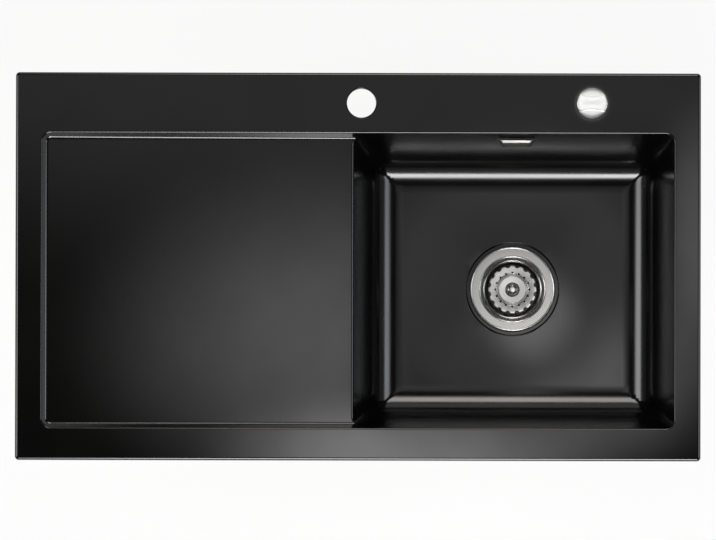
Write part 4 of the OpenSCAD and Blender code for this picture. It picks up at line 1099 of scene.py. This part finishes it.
def buildBasket():
    b = basket
    rim = drainLevel - b["rimDrop"]
    disc = drainLevel - b["discDrop"]
    r, d = b["radius"], b["discRadius"]
    line = [
        (r, rim - 0.5), (r - 0.5, rim - 0.1), (r - 2.0, rim), (d + 2.2, rim - 1.1),
        (d + 1.1, rim - 1.7), (d + 0.2, rim - 1.1), (d - 0.7, rim - 1.3),
        (d - 1.4, rim - 1.8), (9.4, rim - 2.2), (8.2, rim - 2.8), (7.0, disc + 0.6), (6.2, disc + 0.1),
        (b["stemRadius"], disc),
    ]
    shell = turnedShape(sheetRing(easedLine(line, 0.8), b["sheet"]), drainAxis, 192, ring=True)
    piece = solidPiece("strainerBasket", shell, "spunSteel")

    def cutRing(radius, at, firstTurn, sides):
        drill = turnedShape([(0, 0), (radius, 0), (radius, b["drill"]), (0, b["drill"])], (0, 0), sides)
        drills = ringOf(drill, "spunSteel", b["teeth"], at, (*drainAxis, disc - 3), firstTurn)
        combined(piece, drills, "DIFFERENCE")
    cutRing(b["notchRadius"], b["notchAt"], math.pi / b["teeth"], 28)
    cutRing(b["holeRadius"], b["holeAt"], 0.0, 20)
    finished(piece, 35, "basket", "spunSteel", "strainer_basket")


pull = {
    "radius": 7.8,
    "neck": 4.5,
    "foot": 6.0,
    "height": 12.0,
    "crown": 4.3,
    "stemHole": 3.05,
    "stemTop": 8.05,
}


def buildPull():
    p = pull
    level = drainLevel - basket["discDrop"]
    crownBase = level + p["height"] - p["crown"]
    dome = [
        (p["radius"] * math.cos(a) ** 0.65, crownBase + p["crown"] * math.sin(a))
        for a in np.linspace(0, math.pi / 2 - 0.02, 14)
    ]
    profile = [
        (p["stemHole"], level), (p["foot"], level), (p["foot"], level + 0.5), (p["foot"] - 0.8, level + 1.1),
        (p["neck"], level + 2.2), (p["neck"], crownBase - 2.4), (p["radius"] - 0.9, crownBase - 1.0),
    ] + dome + [(0, level + p["height"]), (0, level + p["stemTop"]), (p["stemHole"], level + p["stemTop"])]
    shape = turnedShape(profile, drainAxis, 96, ring=True)
    finished(solidPiece("basketPull", shape, "pullChrome"), 32, "basket", "pullChrome", "basket_pull")


# Rotary control
knob = {
    "radius": 20.2,
    "gap": 0.3,
    "gripTop": 15.0,
    "baseTop": 8.0,
    "waist": 17.6,
    "ends": 21.6,
    "edge": 0.45,
    "scoopFillet": 0.6,
    "spindleHole": 4.05,
    "lineLength": 17.6,
    "lineWidth": 0.8,
    "lineDepth": 0.5,
}
controlSeat = rimTop + 3.0


def buildKnob():
    k = knob
    low, high = controlSeat + k["gap"], rimTop + k["gripTop"]
    base = rimTop + k["baseTop"]
    r = k["radius"]
    profile = (
        [(0, low), (r - 0.8, low)] + arcPoints((r - 0.8, low + 0.8), 0.8, -90, 0, 3)
        + arcPoints((r - 1.4, high - 1.4), 1.4, 0, 90, 6) + [(0, high)]
    )
    piece = solidPiece("controlKnob", turnedShape(profile, controlAxis, 128), "chrome")
    endX = math.sqrt(4 * r * r - k["ends"] ** 2) / 2
    sagitta = (k["ends"] - k["waist"]) / 2
    scoop = (endX ** 2 + sagitta ** 2) / (2 * sagitta)
    fillet = k["scoopFillet"]
    cuts = []
    for side in (-1, 1):
        cuts.append(turnedShape(
            [(0, base)] + arcPoints((scoop - fillet, base + fillet), fillet, -90, 0, 5)
            + [(scoop, high + 3), (0, high + 3)],
            (controlAt.x, controlAt.y + side * (k["waist"] / 2 + scoop)), 720,
        ))
    half, width = k["lineLength"] / 2, k["lineWidth"] / 2
    line = stadium(2 * half, 2 * width, 0, k["lineDepth"] + 2, 6)
    lineAt = Matrix.Translation((*controlAxis, high - k["lineDepth"]))
    cuts.append(movedShape(line, lineAt @ Matrix.Rotation(math.pi / 2, 4, "X")))
    cuts.append(turnedShape(
        [(0, low - 1), (k["spindleHole"], low - 1), (k["spindleHole"], base + 0.05), (0, base + 0.05)],
        controlAxis, 48,
    ))
    worked(piece, "DIFFERENCE", joinShapes(*cuts))
    rounded(piece, k["edge"], 3, 42)
    finished(piece, 40, "knob", "chrome", "control_knob")


# A helical thread as a closed solid of [angle, height] rows round an upright axis
def threadedRod(centre, outer, depth, pitch, low, high, segments=72, perPitch=8):
    rows = max(int(round((high - low) / pitch * perPitch)), 2)
    angles = np.arange(segments) * 2 * math.pi / segments
    points = [(centre[0], centre[1], low)]
    for row in range(rows + 1):
        z = low + (high - low) * row / rows
        phase = (z / pitch - angles / (2 * math.pi)) % 1.0
        ridge = np.clip(1.5 - np.abs(phase - 0.5) * 5.0, 0, 1)
        run = np.clip(min(z - low, high - z) / pitch, 0, 1)
        radius = outer - depth + depth * ridge * run
        for a, rad in zip(angles, radius):
            points.append((centre[0] + rad * math.cos(a), centre[1] + rad * math.sin(a), z))
    points.append((centre[0], centre[1], high))
    last = len(points) - 1
    faces = []
    for k in range(segments):
        n = (k + 1) % segments
        faces.append([0, 1 + n, 1 + k])
        faces.append([last, 1 + rows * segments + k, 1 + rows * segments + n])
        for row in range(rows):
            a, b = 1 + row * segments, 1 + (row + 1) * segments
            faces.append([a + k, a + n, b + n, b + k])
    return points, faces


bushing = {
    "radius": 16.0,
    "flangeRadius": 19.2,
    "flange": 2.0,
    "seal": 1.0,
    "foot": -20.0,
    "thread": 1.0,
    "pitch": 2.0,
    "bore": 4.05,
    "hollow": 12.0,
}
deckNut = {
    "top": 0.0,
    "height": 8.0,
    "flange": 2.4,
    "radius": 22.2,
    "flangeRadius": 24.0,
    "bore": 16.05,
    "ribs": 24,
}


def buildBushing():
    b = bushing
    flangeLow = rimTop + b["seal"]
    rod = threadedRod(controlAxis, b["radius"], b["thread"], b["pitch"], b["foot"], flangeLow - 5)
    piece = solidPiece("knobBushing", rod, "greyPlastic")
    r = b["flangeRadius"]
    head = turnedShape(
        [(0, flangeLow - 6), (b["radius"] - b["thread"], flangeLow - 6), (b["radius"], flangeLow - 5),
         (b["radius"], flangeLow), (r - 0.3, flangeLow), (r, flangeLow + 0.3)]
        + arcPoints((r - 0.8, flangeLow + b["flange"] - 0.8), 0.8, 0, 90, 4) + [(0, flangeLow + b["flange"])],
        controlAxis, 96,
    )
    worked(piece, "UNION", head)
    under = b["foot"] - 2
    bore = turnedShape(
        [(0, under), (b["bore"], under), (b["bore"], flangeLow + 4), (0, flangeLow + 4)], controlAxis, 48,
    )
    hollow = turnedShape(
        [(b["bore"] + 4, under), (b["hollow"], under), (b["hollow"], flangeLow - 13),
         (b["bore"] + 4, flangeLow - 13)],
        controlAxis, 64, ring=True,
    )
    worked(piece, "DIFFERENCE", joinShapes(bore, hollow))
    finished(piece, 38, "sink", "greyPlastic", "knob_bushing")


# A collar with grip ribs round an upright axis, from its foot up
def ribbedCollar(
    name, finish, at, foot, height, radius, bore, ribs, ribDepth, flangeHeight=0.0, flangeRadius=0.0,
):
    edge = 0.6
    profile = [(bore, foot + 0.4), (bore + 0.4, foot), (radius - edge, foot), (radius, foot + edge)]
    top = foot + height
    if flangeHeight:
        profile += [
            (radius, top - flangeHeight - 0.6), (radius + 0.6, top - flangeHeight),
            (flangeRadius - edge, top - flangeHeight), (flangeRadius, top - flangeHeight + edge),
            (flangeRadius, top - edge), (flangeRadius - edge, top),
        ]
    else:
        profile += [(radius, top - edge), (radius - edge, top)]
    profile += [(bore + 0.4, top), (bore, top - 0.4)]
    piece = solidPiece(name, turnedShape(profile, at, 96, ring=True), finish)
    ribHeight = height - flangeHeight - 2 * edge
    rib = turnedShape(
        [(0, 0), (0.5 * ribDepth, 0), (ribDepth, 0.8), (ribDepth, ribHeight - 0.8),
         (0.5 * ribDepth, ribHeight), (0, ribHeight)],
        (0, 0), 12,
    )
    combined(piece, ringOf(rib, finish, ribs, radius - 0.1, (*at, foot + edge)), "UNION")
    smoothUpTo(piece, 38)
    return piece


def buildDeckNut():
    n = deckNut
    piece = ribbedCollar(
        "deckNut", "greyPlastic", controlAxis, n["top"] - n["height"], n["height"],
        n["radius"], n["bore"], n["ribs"], 1.2, n["flange"], n["flangeRadius"],
    )
    standFor(piece, "sink", "greyPlastic", "deck_nut")


buildStrainer()
buildBasket()
buildPull()
buildKnob()
buildBushing()
buildDeckNut()
print("waste fitting and control built")


# Overflow hood: one bent sheet
hood = {
    "front": 37.0,
    "width": 53.0,
    "taper": 5.0,
    "height": 25.0,
    "gap": 5.0,
    "sheet": 1.0,
    "frameSheet": 1.0,
    "wallGap": 0.05,
    "clear": 0.3,
    "bend": 1.6,
    "foldRise": 3.0,
    "foldDepth": 2.2,
    "edge": 0.25,
}


def buildHood():
    h = hood
    front = -h["gap"] - h["frameSheet"]
    base = -h["wallGap"] - h["frameSheet"] - h["clear"]
    rows = []
    fold = h["height"] / 2 - h["foldRise"]
    levels = list(np.linspace(-h["height"] / 2, fold - 0.6, 7)) + list(np.linspace(fold, h["height"] / 2, 6))
    for level in levels:
        share = (level + h["height"] / 2) / h["height"]
        wing = (h["width"] - h["front"]) / 2 - h["taper"] * (1 - share)
        half = h["front"] / 2
        back = front + h["foldDepth"] * max(0.0, (level - fold) / h["foldRise"])
        line = [(half + wing, base), (half, back), (-half, back), (-half - wing, base)]
        rows.append([(px, py, level) for px, py in sheetRing(easedLine(line, h["bend"], 5), -h["sheet"])])
    count = len(rows[0])
    points = [p for row in rows for p in row]
    faces = [list(range(count)), list(range(len(points) - 1, len(points) - count - 1, -1))]
    for row in range(len(rows) - 1):
        a, b = row * count, (row + 1) * count
        faces += [[a + k, b + k, b + (k + 1) % count, a + (k + 1) % count] for k in range(count)]
    piece = solidPiece("overflowHood", movedShape((points, faces), overflowPlace), "brushedSteel")
    rounded(piece, h["edge"], 2, 50)
    finished(piece, 30, "sink", "brushedSteel", "overflow_hood")


# Waste body: moulded shell with a threaded outlet
wasteBody = {
    "flangeRadius": 54.0,
    "flange": 4.0,
    "bore": 44.5,
    "wall": 3.0,
    "height": 38.0,
    "cone": 26.0,
    "outletRadius": 23.9,
    "outletBore": 20.0,
    "outlet": 26.0,
    "thread": 1.1,
    "pitch": 2.309,
    "gasket": 2.0,
    "inletDrop": 19.0,
    "spigotRadius": 11.0,
    "spigotWall": 2.2,
    "glandRadius": 9.0,
    "glandBore": 6.2,
    "glandDepth": 9.0,
    "shaftBore": 3.05,
    "hubRadius": 9.0,
    "hubBore": 5.05,
    "hubHeight": 10.0,
    "ribs": 12,
    "spokeThin": 1.6,
    "spokeThick": 2.1,
}


def buildWasteBody():
    w = wasteBody
    top = drainLevel - waste["recessDepth"] - waste["bossWall"] - w["gasket"]
    outer = w["bore"] + w["wall"]
    coneTop = top - w["height"]
    cone = coneTop - w["cone"]
    foot = cone - w["outlet"]
    core = w["outletRadius"] - w["thread"]
    flange = w["flangeRadius"]
    solid = turnedShape(
        [(0, top), (flange - 0.8, top), (flange, top - 0.8),
         (flange, top - w["flange"] + 0.8), (flange - 0.8, top - w["flange"]),
         (outer + 1.2, top - w["flange"]), (outer, top - w["flange"] - 1.2), (outer, coneTop + 2),
         (outer - 0.6, coneTop), (w["outletRadius"] + 1.2, cone + 1.6), (w["outletRadius"], cone),
         (w["outletRadius"], cone - 2), (core, cone - 3), (core, foot + 1), (0, foot + 1)],
        drainAxis, 128,
    )
    piece = solidPiece("wasteBody", solid, "whitePlastic")
    worked(piece, "UNION", threadedRod(
        drainAxis, w["outletRadius"], w["thread"], w["pitch"], foot, cone - 1.0, 96,
    ))

    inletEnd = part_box("waste_body")[1].y / mm - drainAt.y
    r = w["spigotRadius"]
    spigot = turnedShape(
        [(0, 0), (r, 0), (r, outer + 4), (r, inletEnd - 17), (r + 0.6, inletEnd - 15), (r, inletEnd - 14.4),
         (r + 0.6, inletEnd - 9), (r, inletEnd - 8.4), (r + 0.5, inletEnd - 3), (r - 0.6, inletEnd),
         (0, inletEnd)],
        (0, 0), 64,
    )
    inlet = Matrix.Translation((*drainAxis, top - w["inletDrop"]))
    spigotPlace = inlet @ Matrix.Rotation(-math.pi / 2, 4, "X")
    glandEnd = outer + 7.5
    g = w["glandRadius"]
    gland = turnedShape(
        [(0, 0), (g + 2.5, 0), (g + 1.5, outer - 4), (g, outer + 1), (g, glandEnd - 0.6), (g - 0.6, glandEnd),
         (0, glandEnd)],
        (0, 0), 64,
    )
    shaftLevel = middleOf("cam_shaft").z
    glandPlace = Matrix.Translation((*drainAxis, shaftLevel)) @ Matrix.Rotation(math.pi / 2, 4, "Y")
    worked(piece, "UNION", movedShape(spigot, spigotPlace))
    worked(piece, "UNION", movedShape(gland, glandPlace))
    # upright ribs between the flange and the cone
    ribHeight = w["height"] - w["flange"] - 2
    rib = [
        (0, -1, 0), (0, 1, 0), (1.2, 1, 3), (1.2, -1, 3), (0, -1, ribHeight), (0, 1, ribHeight),
        (5.5, 0.9, ribHeight), (5.5, -0.9, ribHeight),
    ]
    ribFaces = [[0, 1, 2, 3], [0, 3, 7, 4], [1, 5, 6, 2], [3, 2, 6, 7], [4, 7, 6, 5], [0, 4, 5, 1]]
    ribs = ringOf(
        (rib, ribFaces), "whitePlastic", w["ribs"], outer - 0.4, (*drainAxis, coneTop + 1.5),
        math.pi / w["ribs"],
    )
    combined(piece, ribs, "UNION")

    worked(piece, "DIFFERENCE", turnedShape(
        [(0, top + 2), (w["bore"], top + 2), (w["bore"], coneTop), (w["outletBore"], cone),
         (w["outletBore"], foot - 2), (0, foot - 2)],
        drainAxis, 128,
    ))
    inside = r - w["spigotWall"]
    worked(piece, "DIFFERENCE", movedShape(turnedShape(
        [(0, 0), (inside, 0), (inside, inletEnd + 2), (0, inletEnd + 2)], (0, 0), 48,
    ), spigotPlace))
    packing = glandEnd - w["glandDepth"]
    worked(piece, "DIFFERENCE", movedShape(turnedShape(
        [(0, 10), (w["shaftBore"], 10), (w["shaftBore"], packing), (w["glandBore"], packing),
         (w["glandBore"], glandEnd + 2), (0, glandEnd + 2)],
        (0, 0), 48,
    ), glandPlace))

    hubTop = drainLevel - strainer["openingDrop"] - 3.0
    hubFoot = hubTop - w["hubHeight"]
    hub = w["hubRadius"]
    worked(piece, "UNION", turnedShape(
        [(w["hubBore"], hubFoot), (hub - 0.5, hubFoot), (hub, hubFoot + 0.5),
         (hub, hubTop - 0.5), (hub - 0.5, hubTop), (w["hubBore"], hubTop)],
        drainAxis, 64, ring=True,
    ))
    levels = [(hubFoot + 2, w["spokeThin"], w["spokeThin"]), (hubTop - 2, w["spokeThick"], w["spokeThick"])]
    spokes = [armShape(degrees, hub - 1.5, w["bore"] + 1.0, levels) for degrees in (45, 165, 285)]
    worked(piece, "UNION", joinShapes(*spokes))
    finished(piece, 35, "sink", "whitePlastic", "waste_body")


# Hose and cable
def curvedRoute(points, perSpan):
    points = [np.array(p, float) for p in points]
    last = len(points) - 1
    out = []
    for i in range(last):
        a, b, c, d = (points[j] for j in (max(i - 1, 0), i, i + 1, min(i + 2, last)))
        for step in range(perSpan):
            t = step / perSpan
            out.append(b + 0.5 * (
                (c - a) * t + (2 * a - 5 * b + 4 * c - d) * t * t + (3 * b - a - 3 * c + d) * t ** 3
            ))
    return out + [points[last]]


def steps(start, *moves):
    return [start + Vector(move) for move in moves]


upperNutLow, upperNutHigh = (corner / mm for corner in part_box("upper_hose_nut"))
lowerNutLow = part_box("lower_hose_nut")[0] / mm
upperNutAt, lowerNutAt = middleOf("upper_hose_nut"), middleOf("lower_hose_nut")
hose = {
    "top": Vector((upperNutAt.x, upperNutAt.y, upperNutHigh.z + 3)),
    "end": Vector((lowerNutAt.x, lowerNutLow.y - 3, lowerNutAt.z)),
    "valley": 13.2,
    "crest": 15.0,
    "pitch": 4.4,
    "length": 0.284,
    "nutRadius": 17.0,
    "nutBore": 15.05,
    "nutHeight": 12.0,
}
hoseCorner = Vector((hose["end"].x, hose["top"].y, hose["end"].z))
drop = hose["top"].z - hose["end"].z
hoseRoute = (
    steps(
        hose["top"], (0, 0, 0), (0, 0, -0.15 * drop), (0, 0, -0.3 * drop), (0, 0, -0.44 * drop),
        (-1, -2, -0.58 * drop), (-1, -10, -0.73 * drop),
    )
    + steps(hoseCorner, (1, -35, 26), (1, -55, 9), (0, -79, 1))
    + steps(hose["end"], (0, 54, 0), (0, 27, 0), (0, 0, 0))
)
ferruleUp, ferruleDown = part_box("upper_ferrule")[1] / mm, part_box("lower_ferrule")[1] / mm
ferruleUpAt, ferruleDownAt = middleOf("upper_ferrule"), middleOf("lower_ferrule")
cable = {
    "top": Vector((ferruleUp.x, ferruleUpAt.y, ferruleUpAt.z)),
    "end": Vector((ferruleDownAt.x, ferruleDown.y, ferruleDownAt.z)),
    "radius": 2.5,
    "length": 0.381,
}
cableRoute = (
    steps(
        cable["top"], (0, 0, 0), (10, 0, 0), (22, -2, -6), (31, -5, -20), (36, -9, -42), (36, -14, -70),
        (32, -21, -100), (25, -33, -129), (13, -50, -156), (-3, -72, -177),
    )
    + steps(cable["end"], (53, 94, 13), (37, 66, 5), (20, 40, 1), (6, 18, 0), (0, 8, 0), (0, 0, 0))
)


def buildTube(name, route, finish, node, values):
    path = [tuple(np.array(p) * mm) for p in curvedRoute(route, 12)]
    mesh = bpy.data.meshes.new(name)
    mesh.from_pydata(path, [(i, i + 1) for i in range(len(path) - 1)], [])
    piece = addObject(name, mesh)
    inMetres = {label: values[label] * mm for label in ("Valley", "Crest", "Pitch", "Step")}
    grown(piece, ribbedTube, {**inMetres, "Sides": values["Sides"], "Finish": materials[finish]})
    finished(tidyMesh(piece), 40, "sink", finish, node)


def buildHose():
    buildTube("overflowHose", hoseRoute, "whitePlastic", "overflow_hose", {
        "Valley": hose["valley"], "Crest": hose["crest"], "Pitch": hose["pitch"], "Step": 0.55, "Sides": 36,
    })
    for name, at, turn, node in (
        ("upperHoseNut", Vector((upperNutAt.x, upperNutAt.y, upperNutLow.z)), 0.0, "upper_hose_nut"),
        ("lowerHoseNut", Vector((lowerNutAt.x, lowerNutLow.y, lowerNutAt.z)), -math.pi / 2, "lower_hose_nut"),
    ):
        nut = ribbedCollar(
            name, "whitePlastic", (0, 0), 0, hose["nutHeight"], hose["nutRadius"], hose["nutBore"], 24, 0.9,
        )
        nut.data.transform(Matrix.Translation(at * mm) @ Matrix.Rotation(turn, 4, "X"))
        standFor(nut, "sink", "whitePlastic", node)


def buildCable():
    buildTube("controlCable", cableRoute, "sheath", "control_cable", {
        "Valley": cable["radius"], "Crest": cable["radius"], "Pitch": 10, "Step": 2.5, "Sides": 20,
    })


# Other pieces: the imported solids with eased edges, as node, finish and edge in millimetres
softened = {
    "sink": [
        ("actuator_housing", "greyPlastic", 0.7),
        ("actuator_cover", "greyPlastic", 0.4),
        ("crank_housing", "greyPlastic", 0.6),
        ("crank_cover", "greyPlastic", 0.4),
        ("overflow_housing", "whitePlastic", 0.6),
        ("overflow_frame", "brushedSteel", 0.2),
        ("gland_nut", "whitePlastic", 0.4),
        ("clamp_bolt", "turnedSteel", 0.3),
    ],
    "cam": [
        ("lift_cam", "whitePlastic", 0.3),
        ("crank_arm", "turnedSteel", 0.25),
        ("cam_shaft", "turnedSteel", 0.4),
    ],
    "knob": [
        ("cable_drum", "whitePlastic", 0.25),
        ("knob_spindle", "turnedSteel", 0.4),
    ],
    "slider": [
        ("crank_slider", "whitePlastic", 0.25),
    ],
}
# Small and hidden pieces stay as packed, in their finish
carried = {
    "rubber": [
        "flange_gasket", "body_gasket", "basket_seal", "shaft_seal", "deck_seal", "deck_washer",
        "overflow_gasket",
    ],
    "turnedSteel": [
        "basket_stem", "basket_washer", "lift_pin", "lower_wire", "upper_wire", "drum_wire", "drum_clip",
        "crank_screws", "actuator_screws", "overflow_screws", "lower_ferrule", "upper_ferrule",
    ],
    "whitePlastic": ["basket_spacer"],
}


def softenNode(body, node, finish, edge):
    first, *others = node.split("_")
    name = first + "".join(word.capitalize() for word in others)
    mesh = nodes[node].data.copy()
    mesh.name = name
    mesh.materials.clear()
    mesh.materials.append(materials[finish])
    piece = addObject(name, mesh)
    work = bmesh.new()
    work.from_mesh(mesh)
    bmesh.ops.remove_doubles(work, verts=work.verts, dist=2e-6)
    bmesh.ops.dissolve_limit(
        work, angle_limit=math.radians(0.6), verts=work.verts, edges=work.edges,
        use_dissolve_boundaries=False,
    )
    for face in work.faces:
        face.material_index = 0
    work.to_mesh(mesh)
    work.free()
    if mesh.has_custom_normals:
        mesh.normals_split_custom_set([(0, 0, 0)] * len(mesh.loops))
    rounded(piece, edge, 2, 45)
    finished(piece, 35, body, finish, node)


def dressNodes():
    for body, rows in softened.items():
        for row in rows:
            softenNode(body, *row)
    for finish, plainNodes in carried.items():
        for node in plainNodes:
            nodes[node].data.materials.clear()
            nodes[node].data.materials.append(materials[finish])


buildHood()
buildWasteBody()
buildHose()
buildCable()
dressNodes()
print("overflow, body, hose and cable built")
